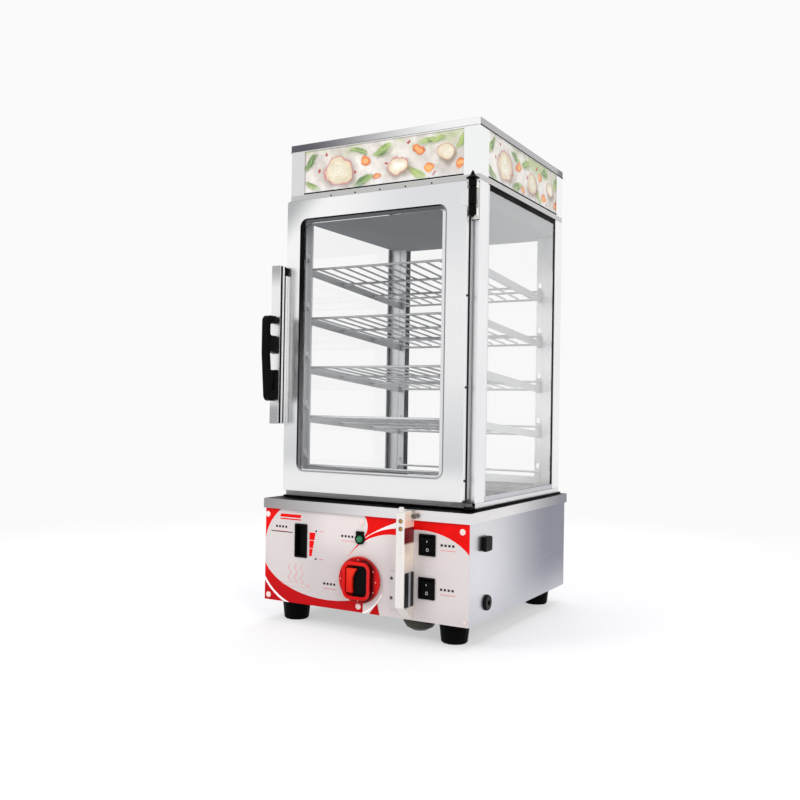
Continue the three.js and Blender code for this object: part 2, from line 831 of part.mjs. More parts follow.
function baseCasing() {
  const wide = baseWide / 2;
  const outline = rectangle(-wide, wide, casingFront, skin, gap);
  const low = baseLow + gap;
  const inner = wide - sheet;
  const open = wide - baseReturn;
  const cuts = [
    block(-inner, inner, casingFront + sheet, skin - sheet, 0, roofTop),
    block(-open, open, -skin, 0, 0, roofTop),
    rod([inner - sheet, glandY, glandZ], [wide + sheet, glandY, glandZ], glandNeck + gap),
  ];
  for (let index = 0; index < ventCount; index += 1) {
    const z = ventLow + index * ventPitch;
    cuts.push(block(-ventReach, ventReach, inner / 2, skin + sheet, z - ventHalf / 2, z + ventHalf / 2));
  }
  return cuts.reduce((body, cut) => body.subtract(cut), slab(outline, 'plan', low, casingTop));
}

// Floor plate of the base, folded up along its edges
const floorFold = 14;
const drainInset = 90.2;
const drainX = baseWide / 2 - drainInset;
const drainInsetFront = 28.6;
const drainY = drainInsetFront - skin;
const drainHole = 10;

function baseFloor() {
  const wide = baseWide / 2 - sheet - gap;
  const front = casingFront + sheet + gap;
  const back = skin - sheet - gap;
  const low = baseLow + gap;
  const pan = block(-wide, wide, front, back, low, low + floorFold);
  const inside = block(sheet - wide, wide - sheet, front + sheet, back - sheet, low + sheet, roofTop);
  const drain = rod([drainX, drainY, 0], [drainX, drainY, low + floorFold], drainHole);
  return pan.subtract(inside).subtract(drain);
}

function foot(x, y) {
  return turned([
    [0, 0], [footLowRadius - footEdge, 0], [footLowRadius, footEdge],
    [footTopRadius, baseLow - footEdge], [footTopRadius - footEdge, baseLow], [0, baseLow],
  ], [x, y, 0], zAxis, 20);
}

// Rim: a steel fascia with a web that carries the tank, and the black gutter on it
const beadWide = 3;
const beadHigh = 3;

function tankHole(margin) {
  return block(-tankSide - margin, tankSide + margin, tankFront - margin, tankBack + margin, 0, roofTop);
}

function rim() {
  const wide = rimWide / 2;
  const deep = rimDeep / 2;
  const whole = slab(rectangle(-wide, wide, -deep, deep, rimCorner), 'plan', rimLow, rimTop);
  const tray = rectangle(
    heavySheet - wide, wide - heavySheet, heavySheet - deep, deep - heavySheet, rimCorner,
  );
  const pocket = slab(tray, 'plan', rimLow + heavySheet, roofTop);
  const hole = tankHole(tankHoleMargin);
  return whole.subtract(pocket).subtract(hole);
}

function gutter() {
  const wide = rimWide / 2 - heavySheet - gap;
  const deep = rimDeep / 2 - heavySheet - gap;
  const low = rimLow + heavySheet + gap;
  const floor = slab(rectangle(-wide, wide, -deep, deep, rimCorner), 'plan', low, rimTop);
  const inner = caseSide + gap;
  const front = caseFront - gap;
  const back = caseBack + gap;
  const outer = rectangle(
    -inner - beadWide, inner + beadWide, front - beadWide, back + beadWide, beadWide,
  );
  const bead = slab(outer, 'plan', low, rimTop + beadHigh);
  const foot = block(-inner, inner, front, back, rimTop, roofTop);
  return floor.add(bead.subtract(foot)).subtract(tankHole(gutterHoleMargin));
}

// Heating element: one bent tube low in the tank, with a mounting plate outside it
const elementRadius = 4;
const elementRise = 14;
const elementZ = tankLow + elementRise;
const elementLegX = 14;
const elementInset = 56;
const elementSide = tankSide - elementInset;
const elementInsetFront = 46;
const elementNear = tankFront + elementInsetFront;
const elementInsetBack = 52;
const elementFar = tankBack - elementInsetBack;
const elementTail = 18;
const elementOut = tankFront - elementTail;
const elementPlateHalf = 22;
const elementPlateHigh = 9;
const elementPlateThick = 3;
const elementSteps = 40;
const bendHandle = 30;

function heatingElement() {
  const at = (x, y) => new THREE.Vector3(x, y, elementZ);
  const path = new THREE.CurvePath();
  const side = elementSide;
  const corners = [
    [-elementLegX, elementOut], [-elementLegX, elementNear], [-side, elementNear], [-side, elementFar],
    [side, elementFar], [side, elementNear], [elementLegX, elementNear], [elementLegX, elementOut],
  ].map(([x, y]) => at(x, y));
  let from = corners[0];
  for (let index = 1; index < corners.length - 1; index += 1) {
    const corner = corners[index];
    const enter = corner.clone().add(corners[index - 1].clone().sub(corner).setLength(bendHandle));
    const leave = corner.clone().add(corners[index + 1].clone().sub(corner).setLength(bendHandle));
    path.add(new THREE.LineCurve3(from, enter));
    path.add(new THREE.QuadraticBezierCurve3(enter, corner, leave));
    from = leave;
  }
  path.add(new THREE.LineCurve3(from, corners[corners.length - 1]));
  const section = new THREE.Shape().absarc(0, 0, elementRadius, 0, 2 * Math.PI);
  const geometry = new THREE.ExtrudeGeometry(section, {
    steps: elementSteps,
    curveSegments: 4,
    extrudePath: path,
    bevelEnabled: false,
  });
  const plateBack = tankFront - gap;
  const plate = block(
    -elementPlateHalf, elementPlateHalf, plateBack - elementPlateThick, plateBack,
    elementZ - elementPlateHigh, elementZ + elementPlateHigh,
  );
  return solid(geometry).add(plate);
}

// Water tank hung in the rim, with an open top
const tankCorner = 16;

function tank() {
  const outline = (inset) => rectangle(
    inset - tankSide, tankSide - inset, tankFront + inset, tankBack - inset, tankCorner - inset,
  );
  const flangeLow = rimLow + heavySheet + gap;
  const tub = slab(outline(0), 'plan', tankLow, flangeLow + sheet);
  const lip = slab(outline(-tankFlange), 'plan', flangeLow, flangeLow + sheet);
  const hollow = slab(outline(sheet), 'plan', tankLow + sheet, roofTop);
  const legs = [-1, 1].map((side) => rod(
    [side * elementLegX, tankFront - sheet, elementZ], [side * elementLegX, tankFront + 2 * sheet, elementZ],
    elementRadius + gap,
  ));
  return tub.add(lip).subtract(hollow).subtract(joined(legs));
}

// Front panel with the holes for the controls
const levelInset = 68.3;
const windowX = levelInset - baseWide / 2;
const levelRise = 98;
const windowZ = baseLow + levelRise;
const windowHalf = 11.4;
const windowHigh = 26;
const windowLap = 1.4;
const sleeveHalf = 11.7;
const sleeveHigh = 14;
const shaftHole = 7;
const lampHole = 6.5;
const panelLow = baseLow + gap;

function frontPanel() {
  const wide = baseWide / 2;
  const outline = rectangle(-wide, wide, panelLow, casingTop, sheet);
  outline.holes.push(rectangle(
    windowX - windowHalf + windowLap, windowX + windowHalf - windowLap,
    windowZ - windowHigh + windowLap, windowZ + windowHigh - windowLap,
  ));
  for (const z of rockerHeights) {
    outline.holes.push(rectangle(
      rockerX - sleeveHalf - gap, rockerX + sleeveHalf + gap, z - sleeveHigh - gap, z + sleeveHigh + gap,
    ));
  }
  outline.holes.push(new THREE.Path().absarc(knobX, knobZ, shaftHole, 0, 2 * Math.PI));
  outline.holes.push(new THREE.Path().absarc(lampX, lampZ, lampHole, 0, 2 * Math.PI));
  return slab(outline, 'front', panelFaceY, panelFaceY + panelThick);
}

// Level window: a black frame round a sunk scale
const windowProud = 1.2;
const windowDeep = 10;
const windowRecess = 5;

function levelWindow() {
  const face = panelFaceY - gap;
  const rect = (inset) => rectangle(
    windowX - windowHalf + inset, windowX + windowHalf - inset,
    windowZ - windowHigh + inset, windowZ + windowHigh - inset, sheet,
  );
  const frame = slab(rect(0), 'front', face - windowProud, face);
  const tub = slab(rect(windowLap + gap), 'front', face - gap, panelFaceY + windowDeep);
  const recess = slab(rect(2 * windowLap), 'front', face - 2 * windowProud, panelFaceY + windowRecess);
  return frame.add(tub).subtract(recess);
}

// Signal lamp: a green lens in a black hooded ring
const lensRadius = 5.6;
const lensDome = 4;
const ringRadius = 8;
const hoodHigh = 11.5;
const hoodTop = lampZ + hoodHigh;
const ringProud = 3;
const hoodShare = 0.8;
const domeShare = 0.7;

function signalLens() {
  const face = [lampX, panelFaceY + 2 * panelThick, lampZ];
  const towards = yAxis.clone().negate();
  const proud = 2 * panelThick + ringProud;
  return turned([
    [0, 0], [lensRadius, 0], [lensRadius, proud],
    [lensRadius * domeShare, proud + lensDome * domeShare], [0, proud + lensDome],
  ], face, towards, 16);
}

function signalRing() {
  const face = panelFaceY - gap;
  const ring = rod([lampX, face - ringProud, lampZ], [lampX, face, lampZ], ringRadius, 20);
  const reach = ringRadius * hoodShare;
  const hood = block(lampX - reach, lampX + reach, face - ringProud, face, lampZ, hoodTop);
  const bore = rod([lampX, face - 2 * ringProud, lampZ], [lampX, 0, lampZ], lensRadius + gap, 16);
  return ring.add(hood).subtract(bore);
}

// Temperature knob on its shaft, and the thermostat behind the panel
const skirtRadius = 35;
const skirtProud = 7;
const skirtEdge = 2;
const collarWide = 24;
const collarHigh = 28;
const collarCorner = 12;
const collarWall = 5;
const collarProud = 14;
const barShoulder = 8;
const barWaist = 4.5;
const barHigh = 19;
const barProud = 13;
const shaftRadius = 4;
const shaftReach = 20.6;
const shaftEnd = panelFaceY + shaftReach;
const bodyHalf = 19;
const bodyHigh = 21;
const bodyDeep = 38.6;
const bodyBack = panelFaceY + bodyDeep;
const flangeThick = 2;

function knob() {
  const face = panelFaceY - running;
  const towards = yAxis.clone().negate();
  const skirt = turned([
    [0, 0], [skirtRadius, 0], [skirtRadius, skirtProud - skirtEdge],
    [skirtRadius - skirtEdge, skirtProud], [0, skirtProud],
  ], [knobX, face, knobZ], towards, 40);
  const outline = (inset) => rectangle(
    knobX + inset - collarWide, knobX + collarWide - inset,
    knobZ + inset - collarHigh, knobZ + collarHigh - inset, collarCorner - inset,
  );
  const collar = slab(outline(0), 'front', face - collarProud, face - skirtEdge, sheet);
  const recess = slab(outline(collarWall), 'front', face - 2 * collarProud, face - skirtProud);
  const bar = slab(polygon([
    [knobX - barShoulder, knobZ + barHigh], [knobX - barWaist, knobZ], [knobX - barShoulder, knobZ - barHigh],
    [knobX + barShoulder, knobZ - barHigh], [knobX + barWaist, knobZ], [knobX + barShoulder, knobZ + barHigh],
  ]), 'front', face - barProud, face - skirtEdge, sheet);
  const shaft = rod([knobX, face - sheet, knobZ], [knobX, shaftEnd, knobZ], shaftRadius);
  return joined([skirt, collar, shaft]).subtract(recess).add(bar);
}

function thermostat() {
  const front = panelFaceY + panelThick + gap;
  const body = block(knobX - bodyHalf, knobX + bodyHalf, front, bodyBack, knobZ - bodyHigh, knobZ + bodyHigh);
  const ears = block(
    knobX - bodyHalf - shaftHole, knobX + bodyHalf + shaftHole, front, front + flangeThick,
    knobZ - shaftHole, knobZ + shaftHole,
  );
  const bore = rod([knobX, panelFaceY, knobZ], [knobX, shaftEnd + running, knobZ], shaftRadius + running);
  return body.add(ears).subtract(bore);
}

// Rocker switches: a bezel with a sleeve through the panel, and the paddle that tilts in it
const paddleHalf = 9.6;
const paddleHigh = 11.6;
const paddleBackHigh = 8;
const paddleProud = 6;
const paddleDish = 4.6;
const paddleBack = 3;
const pivotDeep = 4.2;
const pivotY = panelFaceY + pivotDeep;
const paddleTilt = 6;
const bezelProud = 1.8;
const sleeveDeep = 14.6;
const sleeveBack = panelFaceY + sleeveDeep;
const holeHalf = 10;
const holeHigh = 12.7;

function rockerBezel(z) {
  const face = panelFaceY - gap;
  const rect = (wide, high, corner) => rectangle(rockerX - wide, rockerX + wide, z - high, z + high, corner);
  const flange = slab(rect(rockerWide / 2, rockerHigh / 2, sheet), 'front', face - bezelProud, face, gap);
  const sleeve = slab(rect(sleeveHalf, sleeveHigh, 0), 'front', face - gap, sleeveBack);
  const hole = slab(rect(holeHalf, holeHigh, 0), 'front', face - 2 * bezelProud, sleeveBack + sheet);
  return flange.add(sleeve).subtract(hole);
}

function rockerPaddle(z) {
  const tilt = THREE.MathUtils.degToRad(paddleTilt);
  const turn = ([y, rise]) => [
    pivotY + y * Math.cos(tilt) - rise * Math.sin(tilt), z + y * Math.sin(tilt) + rise * Math.cos(tilt),
  ];
  const outline = polygon([
    [paddleBack, -paddleBackHigh], [paddleBack, paddleBackHigh], [-paddleProud, paddleHigh],
    [-paddleDish, 0], [-paddleProud, -paddleHigh],
  ].map(turn));
  return slab(outline, 'side', rockerX - paddleHalf, rockerX + paddleHalf);
}

// Fill column on the front: a narrow folded box with an open mouth, a lid and a sight strip
const chuteLeft = knobX + columnPlaceShare * baseWide / 2;
const chuteWide = 14;
const chuteRight = chuteLeft + chuteWide;
const chuteProud = 27.9;
const chuteFront = panelFaceY - chuteProud;
const chuteDrop = 2.5;
const chuteTop = rimTop - chuteDrop;
const toeRise = 22;
const chuteToe = baseLow + toeRise;
const chuteRise = 2;
const chuteLow = baseLow + chuteRise;
const chuteClear = -rimDeep / 2 - gap;
const mouthDeep = 14.5;
const mouthLip = 1;
const backDrop = 7.4;
const mouthBack = chuteFront + mouthDeep;
const floorRise = 29;
const chuteFloor = baseLow + floorRise;
const chuteHoleDrops = [12.4, 23.4];
const chuteHoleHeights = chuteHoleDrops.map((drop) => chuteTop - drop);
const chuteHoleRadius = 2;
const lidPinDeep = 16.5;
const lidPinY = chuteFront + lidPinDeep;
const lidPinDrop = 4.4;
const lidPinZ = chuteTop - lidPinDrop;
const lidPinRadius = 1.6;
const lidEar = 4;
const lidThick = 1.5;
const tabHigh = 7.6;
const tabTop = chuteTop + tabHigh;
const tabHalf = 4;
const sightLow = chuteToe;
const sightHigh = 49;
const sightTop = sightLow + sightHigh;
const sightInset = 1.5;
const sightFront = chuteFront + sightInset;
const sightClear = 1.9;
const sightBack = panelFaceY - sightClear;
const flangeWide = 23.6;
const flangeLeft = chuteLeft - flangeWide;
const flangeLowRise = 12.5;
const flangeLowZ = baseLow + flangeLowRise;
const flangeHigh = 55.2;
const flangeTopZ = flangeLowZ + flangeHigh;

function fillColumn() {
  const back = panelFaceY - gap;
  const outline = polygon([
    [back, chuteLow], [chuteFront, chuteToe], [chuteFront, chuteTop], [mouthBack + mouthLip, chuteTop],
    [chuteClear, chuteTop - backDrop], [chuteClear, casingTop], [back, casingTop],
  ]);
  const inner = chuteClear - sheet;
  const hollow = slab(polygon([
    [chuteFront + sheet, chuteFloor], [inner, chuteFloor], [inner, chuteTop - backDrop - heavySheet],
    [mouthBack, chuteTop - 2 * heavySheet], [chuteFront + sheet, chuteTop - 2 * heavySheet],
  ]), 'side', chuteLeft + sheet, chuteRight - sheet);
  const mouth = block(
    chuteLeft + sheet, chuteRight - sheet, chuteFront + sheet, mouthBack, chuteFloor, roofTop,
  );
  const pinHole = rod(
    [chuteLeft - sheet, lidPinY, lidPinZ], [chuteRight + sheet, lidPinY, lidPinZ], lidPinRadius + gap, 8,
  );
  const middle = (chuteLeft + chuteRight) / 2;
  const screws = chuteHoleHeights.map((z) => rod(
    [middle, chuteFront - sheet, z], [middle, chuteFront + 2 * sheet, z], chuteHoleRadius, 8,
  ));
  const flange = block(flangeLeft, chuteLeft + sheet, back - heavySheet, back, flangeLowZ, flangeTopZ);
  const body = slab(outline, 'side', chuteLeft, chuteRight).add(flange);
  return [hollow, mouth, pinHole, ...screws].reduce((rest, cut) => rest.subtract(cut), body);
}

function columnLid() {
  const left = chuteLeft - gap - sheet;
  const right = chuteRight + gap + sheet;
  const low = chuteTop + gap;
  const plate = block(left, right, chuteFront, mouthBack + gap, low, low + lidThick);
  const pin = rod([left, lidPinY, lidPinZ], [right, lidPinY, lidPinZ], lidPinRadius, 8);
  const middle = (chuteLeft + chuteRight) / 2;
  const tab = slab(
    rectangle(middle - tabHalf, middle + tabHalf, low, tabTop, tabHalf / 2), 'front',
    chuteFront + lidThick, chuteFront + 2 * lidThick,
  );
  const ears = [[left, left + sheet], [right - sheet, right]].flatMap(([near, far]) => [
    rod([near, lidPinY, lidPinZ], [far, lidPinY, lidPinZ], lidEar, 12),
    slab(polygon([
      [lidPinY - lidEar, lidPinZ], [lidPinY, lidPinZ + lidEar], [mouthBack, low + lidThick],
      [mouthBack - 2 * lidEar, low + lidThick],
    ]), 'side', near, far),
  ]);
  return joined([plate, pin, tab, ...ears]);
}

function sightStrip() {
  const left = chuteRight + gap;
  return slab(rectangle(sightFront, sightBack, sightLow, sightTop, sheet), 'side', left, left + heavySheet);
}

// Drain outlet under the floor plate, the side block and the cable gland
const outletRadius = 26;
const outletLowRadius = 11;
const outletLow = 13;
const outletMiddleRadius = 20;
const outletMiddle = 18;
const outletShoulder = 24.5;
const outletBore = 8;
const outletEdge = 6;
const blockInset = 41.6;
const blockFront = blockInset - skin;
const blockDeep = 24;
const blockBack = blockFront + blockDeep;
const blockRise = 101.6;
const blockLow = baseLow + blockRise;
const blockHigh = 21.4;
const blockTop = blockLow + blockHigh;
const blockProud = 7;
const blockCorner = 3;
const glandRadius = 11.5;
const glandProud = 4;
const glandBore = 4;
const glandInside = 9;

function drainOutlet() {
  const body = turned([
    [0, outletLow], [outletLowRadius, outletLow], [outletMiddleRadius, outletMiddle],
    [outletShoulder, baseLow - outletEdge], [outletRadius, baseLow], [0, baseLow],
  ], [drainX, drainY, 0], zAxis, 28);
  return body.subtract(rod([drainX, drainY, 0], [drainX, drainY, baseLow + sheet], outletBore, 16));
}

function sideBlock() {
  const face = baseWide / 2 + gap;
  const outline = rectangle(blockFront, blockBack, blockLow, blockTop, blockCorner);
  return slab(outline, 'side', face, face + blockProud, sheet);
}

function cableGland() {
  const face = baseWide / 2 + gap;
  const head = turned([
    [0, 0], [glandRadius, 0], [glandRadius, glandProud / 2],
    [glandRadius - sheet, glandProud], [0, glandProud],
  ], [face, glandY, glandZ], xAxis, 24);
  const neck = rod([face - glandInside, glandY, glandZ], [face + sheet, glandY, glandZ], glandNeck, 16);
  const inner = face - 2 * glandInside;
  const bore = rod([inner, glandY, glandZ], [face + glandInside, glandY, glandZ], glandBore, 12);
  return head.add(neck).subtract(bore);
}

// The whole cabinet
const sides = [[-1, 'left'], [1, 'right']];

place('roof_cap', roofCap(), steel());
place('header_casing', headerCasing(), steel());
place('picture_front', frontPicture(), printed());
place('ceiling_tray', ceilingTray(), greySteel());
place('lamp_batten', lampBatten(), lampWhite());
place('lamp_tube', lampTube(), lampWhite());
place('sill_ring', sill(), steel());
for (const [side, label] of sides) {
  place(`picture_${label}`, sidePicture(side), printed());
  place(`post_front_${label}`, cornerPost(side, true), steel());
  place(`post_back_${label}`, cornerPost(side, false), steel());
  place(`gasket_${label}`, sideGlazing(gasketRing, side), rubber());
  place(`glass_${label}`, sideGlazing(pane, side), glass());
}
place('gasket_back', backGlazing(gasketRing), rubber());
place('glass_back', backGlazing(pane), glass());
rackHeights.forEach((height, index) => place(`rack_${index + 1}`, rack(height), bright()));

place('door_frame', doorFrame(), steel());
place('door_gasket', doorGasket(), rubber());
place('door_glass', doorGlass(), glass());
place('door_seal', doorSeal(), rubber());
place('hinge_top_fixed', hingeTopFixed(), blackPlastic());
place('hinge_top_moving', hingeTopMoving(), bright());
place('hinge_low_fixed', hingeLowFixed(), blackPlastic());
place('hinge_low_moving', hingeLowMoving(), bright());
place('handle_channel', handleChannel(), steel());
place('handle_grip', handleGrip(), blackPlastic());

place('base_casing', baseCasing(), steel());
place('base_floor', baseFloor(), greySteel());
place('rim', rim(), steel());
place('drip_gutter', gutter(), rubber());
place('water_tank', tank(), bright());
place('heating_element', heatingElement(), greySteel());
place('front_panel', frontPanel(), panelFace());
place('level_window', levelWindow(), blackPlastic());
place('signal_lens', signalLens(), greenLens());
place('signal_ring', signalRing(), blackPlastic());
place('temperature_knob', knob(), redPlastic());
place('thermostat', thermostat(), blackPlastic());
[['upper', 0], ['lower', 1]].forEach(([label, index]) => {
  place(`rocker_bezel_${label}`, rockerBezel(rockerHeights[index]), blackPlastic());
  place(`rocker_paddle_${label}`, rockerPaddle(rockerHeights[index]), blackPlastic());
});
place('fill_column', fillColumn(), steel());
place('column_lid', columnLid(), steel());
place('sight_strip', sightStrip(), blackPlastic());
place('drain_outlet', drainOutlet(), blackPlastic());
place('side_block', sideBlock(), blackPlastic());
place('cable_gland', cableGland(), rubber());
for (const [side, label] of sides) {
  place(`foot_front_${label}`, foot(side * footX, -footY), rubber());
  place(`foot_back_${label}`, foot(side * footX, footY), rubber());
}

// The finished frame: the middle of the whole width and depth, on the floor
const reachRight = baseWide / 2 + gap + blockProud;
cabinet.position.set((rimWide / 2 - reachRight) / 2, -(rimDeep / 2 + chuteFront) / 2, 0);

export default cabinet;
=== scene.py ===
import json
import math
from contextlib import contextmanager

import bmesh
import bpy
from mathutils import Matrix, Vector


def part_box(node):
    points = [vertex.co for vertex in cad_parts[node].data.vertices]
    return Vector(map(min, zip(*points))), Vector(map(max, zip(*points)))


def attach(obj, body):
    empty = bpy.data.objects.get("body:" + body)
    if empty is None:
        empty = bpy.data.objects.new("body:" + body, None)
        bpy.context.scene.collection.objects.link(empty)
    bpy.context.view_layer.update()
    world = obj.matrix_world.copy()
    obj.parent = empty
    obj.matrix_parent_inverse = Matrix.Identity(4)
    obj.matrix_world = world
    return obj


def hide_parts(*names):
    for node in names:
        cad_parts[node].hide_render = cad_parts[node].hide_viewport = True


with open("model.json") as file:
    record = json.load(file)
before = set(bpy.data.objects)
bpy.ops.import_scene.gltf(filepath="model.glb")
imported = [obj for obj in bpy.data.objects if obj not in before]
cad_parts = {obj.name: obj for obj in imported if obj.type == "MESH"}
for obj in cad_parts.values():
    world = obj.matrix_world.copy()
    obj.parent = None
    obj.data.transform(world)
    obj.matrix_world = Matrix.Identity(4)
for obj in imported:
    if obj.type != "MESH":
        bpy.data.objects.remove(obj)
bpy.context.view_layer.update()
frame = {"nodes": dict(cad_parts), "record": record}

MM = 0.001

# Farther out than any print reaches, in millimetres
FAR = 1000.0


def tone(red, green, blue):
    """The linear colour of a screen colour that is given from 0 to 255."""
    def linear(level):
        share = level / 255
        return share / 12.92 if share <= 0.04045 else ((share + 0.055) / 1.055) ** 2.4
    return linear(red), linear(green), linear(blue), 1.0


# Where the photograph was taken from, in the frame's metres and radians
CAMERA_PLACE = (0.71420, -1.37676, 0.33614)
CAMERA_YAW = 0.53385
CAMERA_PITCH = 0.01390
CAMERA_ROLL = 0.01654
CAMERA_LENS = 41.75
CAMERA_SENSOR = 36
CAMERA_SHIFT = (0.03575, -0.006)

# Front panel print: its middle, its inks, and a painted highlight over its upper middle
PANEL_LOW, PANEL_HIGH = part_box("front_panel")
PANEL_MIDDLE = (PANEL_LOW + PANEL_HIGH) / 2
PANEL_LIGHT = tone(212, 203, 202)
PANEL_SHADE = tone(196, 187, 187)
# A painted highlight, paler than the ground, laid over the panel's upper middle
PANEL_PAINTED_HIGHLIGHT = tone(226, 217, 215)
PANEL_WHITE = tone(248, 242, 240)
PANEL_RED = tone(232, 8, 6)
PANEL_RED_DEEP = tone(218, 6, 6)
PANEL_RED_LOW = tone(182, 2, 10)
PANEL_INK = tone(30, 24, 26)
PANEL_BLUSH = tone(222, 120, 116)

# Front panel art, in millimetres across from the panel's middle and up from the floor.
# Red bands lie outside an oval, which has a middle and radii, and inside a box
OVAL_BANDS = [
    ((-60, 109), (122, 66), {"right": 5, "top": 98}),
    ((-74, 119), (103, 80), {"right": -110, "low": 122}),
    ((100, 96), (92, 66), {"left": 70, "low": 120}),
]
SWOOSH = ((-99, 119), 94.6)
SWOOSH_HALF = 1.7
CREST_END = ((-39, 160), (50, 34))
CREST_MIDDLE = (156.6, -94)
CREST_RADIUS = 280.8
CREST_LINE_HALF = 3.2
RIBBON = ((60.9, 56), 100)
RIBBON_START = -24
RIBBON_GROWTH = 0.057
WEDGE_FOOT = (16.0, 31.0)
WEDGE_WIDE = 18.0
WEDGE_SLOPE = 1.375
WEDGE_LEAN = 0.235
HEM = ((-20.3, 88.2), 62.6)
HEM_HALF = 1.4
FAINT = 0.7
SCALE_LEFT = -93
SCALE_TIP = -88.5
SCALE_LOW = 105.5
SCALE_TOP = 143
SCALE_STEP = 12.5
SCALE_SLANT = 0.187
SCALE_GAP = 0.07
SCALE_MARK_X = -80.6
SCALE_MARKS_UP = (145.6, 103.0)
SCALE_LINE = (-75, -66)
CAPTIONS = [(-145.0, 148.0), (-23.0, 142.5), (-54.0, 67.5), (144.0, 143.0), (144.0, 80.3)]
CAPTION_HALF = 12.0
CAPTION_PITCH = 6.0
CAPTION_BLOCK = 0.62
CAPTION_HIGH = 3.4
CAPTION_RULE = (-7.6, -6.7)
LEVEL_RULE = (-166, -125, 139.4, 140.8)
STRIPES = [(163.4, 168.4), (159.6, 161.6)]
STRIPE_LEFT = -149.0
STRIPE_RIGHT = -110.0
STRIPE_LEAN = 0.3
STEAM_CURLS = (-129.0, -117.5, -106.0)
STEAM_LOW = 63.0
STEAM_TOP = 91.0
STEAM_TURNS = 0.42
STEAM_SWAY = 2.6
DISH = ((-117.5, 60.0), (25.0, 3.4))

# Header picture: places in millimetres from its middle, drawn for the front one's width
PICTURES = [("picture_front", 0), ("picture_left", 1), ("picture_right", 1)]
PICTURE_WIDTH = 0.2925
PICTURE_GLOW = 0.05
PICTURE_SWAY = 22.0
PICTURE_SWELL = 20.0
LEAVES = [
    ((-132, 18), (18, 6), 38), ((-128, -22), (16, 6), -24), ((-40, 24), (16, 5), -14),
    ((-34, -22), (20, 7), 22), ((4, 22), (18, 6), 16), ((62, -20), (20, 6), -30),
    ((88, 26), (18, 5), 6), ((138, 18), (12, 5), 60),
]
SLICES = [((-26, 10), 10), ((-8, -20), 8), ((66, 14), 9), ((84, -16), 8), ((138, -16), 8)]
ROUNDS = [((-78, -2), 27), ((30, -5), 19), ((112, 5), 15)]
BERRIES = [
    ((-112, 4), 3.0), ((-46, -6), 2.8), ((8, 2), 2.8), ((50, 26), 3.0), ((94, -26), 2.6),
    ((-100, 26), 2.8),
]

# Floor and backdrop, and the room's light
FLOOR_SIZE = 14.0
SHADOW_NEAR = 0.5
SHADOW_FAR = 1.7
SHADOW_SOFT = 0.5
LAMP_AIM = (0, 0, 0.4)
ROOM_LIGHT = 0.62
ROOM_TURN = (0.45, 0.95)

# Screws: places in millimetres across from the front panel's middle and up from the floor, and heads
PANEL_SCREWS = [(-172.3, 165.8), (0.8, 164.3), (166.3, 164.3), (-169.0, 39.0), (-3.0, 40.0)]
PANEL_SMALL_SCREW = (170.8, 38.0)
PANEL_SCREW_RADIUS = 0.0045
SMALL_SCREW_RADIUS = 0.0026
SCREW_HEIGHT = 0.0016
FLANGE_SCREW_IN = 0.0027
FLANGE_SCREWS_UP = (0.0884, 0.0598)
FLANGE_THICK = 0.0012
COLUMN_SCREW_IN = 0.007
COLUMN_SCREW_RADIUS = 0.003
COLUMN_SCREW_SUNK = 0.0001
COLUMN_SCREWS_DOWN = (0.0124, 0.0234)
# Heights between which the fill column's side carries a painted dark red reflection of the panel
COLUMN_RED_REFLECTION_LOW = (0.1415, 0.1455)
COLUMN_RED_REFLECTION_TOP = (0.1675, 0.1655)
FLANGE_WIDE = 0.0162

# Catch on the rim beside the fill column's top
CATCH_RADIUS = 0.0036
CATCH_DOWN = 0.0062
CATCH_ASIDE = 0.0056

# Racks, in the order of their bodies from the top one down
RACKS = [
    ("rack_1", "rack_top"), ("rack_2", "rack_second"), ("rack_3", "rack_third"),
    ("rack_4", "rack_fourth"), ("rack_5", "rack_lowest"),
]
RACK_FALL = 0.024
RACK_HOOK_REACH = 0.006
RACK_SLOT_RISE = 0.019
RACK_FRONT_SET = 0.0037
RACK_BACK_SET = 0.0022
WIRE_RADIUS = 0.0015
WIRE_COUNT = 11
WIRE_MARGIN = 0.0192
BAR_RADIUS = 0.0019
BAR_SHARES = (1 / 3, 2 / 3, 1)
BACK_RAIL_RISE = 0.013
BAND_BELOW = 0.009
BAND_ABOVE = 0.003
BAND_THICK = 0.0015
BAND_TURN = 0.012
ROD_TIP = 0.0004
WELD_SUNK = 0.0003
HOOK_INSET = 0.0043
HOOK_WIDE = 0.003
HOOK_HIGH = 0.005
SLOT_HALF = 0.007
SLOT_PLAY = 0.0003

# Top hinge: its barrel and pin, the hat over it, and the leaf with its screws
KNUCKLE_RADIUS = 0.006
PIN_RADIUS = 0.0022
HAT_LOW = 0.6658
HAT_RADIUS = 0.0096
LEAF_TOP = 0.666
LEAF_SCREWS_UP = (0.6185, 0.6555)
LEAF_SCREW_RADIUS = 0.0019
LEAF_CORNER = 0.002
LEAF_BACK = 0.0026
LEAF_BACKING = 0.0008

# Knob: a skirt, and a collar round a recess with a grip bar on its left
KNOB_LOW, KNOB_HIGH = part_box("temperature_knob")
KNOB_X = (KNOB_LOW.x + KNOB_HIGH.x) / 2
KNOB_Z = (KNOB_LOW.z + KNOB_HIGH.z) / 2
KNOB_FACE = PANEL_LOW.y - 0.0005
SKIRT_RADIUS = 0.035
SKIRT_PROUD = 0.007
COLLAR_WIDE = 0.0235
COLLAR_HIGH = 0.028
COLLAR_CORNER = 0.0125
COLLAR_PROUD = 0.0139
COLLAR_WALL = 0.0052
RECESS_DEEP = 0.0059
LINING_HIGH = 0.0052
LINING_WALL = 0.0008
LINING_FLOOR = 0.0004
LINING_PLAY = 0.0002
SHAFT_RADIUS = 0.004
BAR_LEFT = -0.0168
BAR_RIGHT = -0.0068
BAR_HIGH = 0.0182
BAR_CUTS = (-0.6, -0.2, 0.2, 0.6)
BAR_FLARE = [(1, 0.0078), (0.6, 0.003), (-1, 0.0016)]
DOT_COUNT = 12
DOT_CIRCLE = 0.0303
DOT_RADIUS = 0.0013

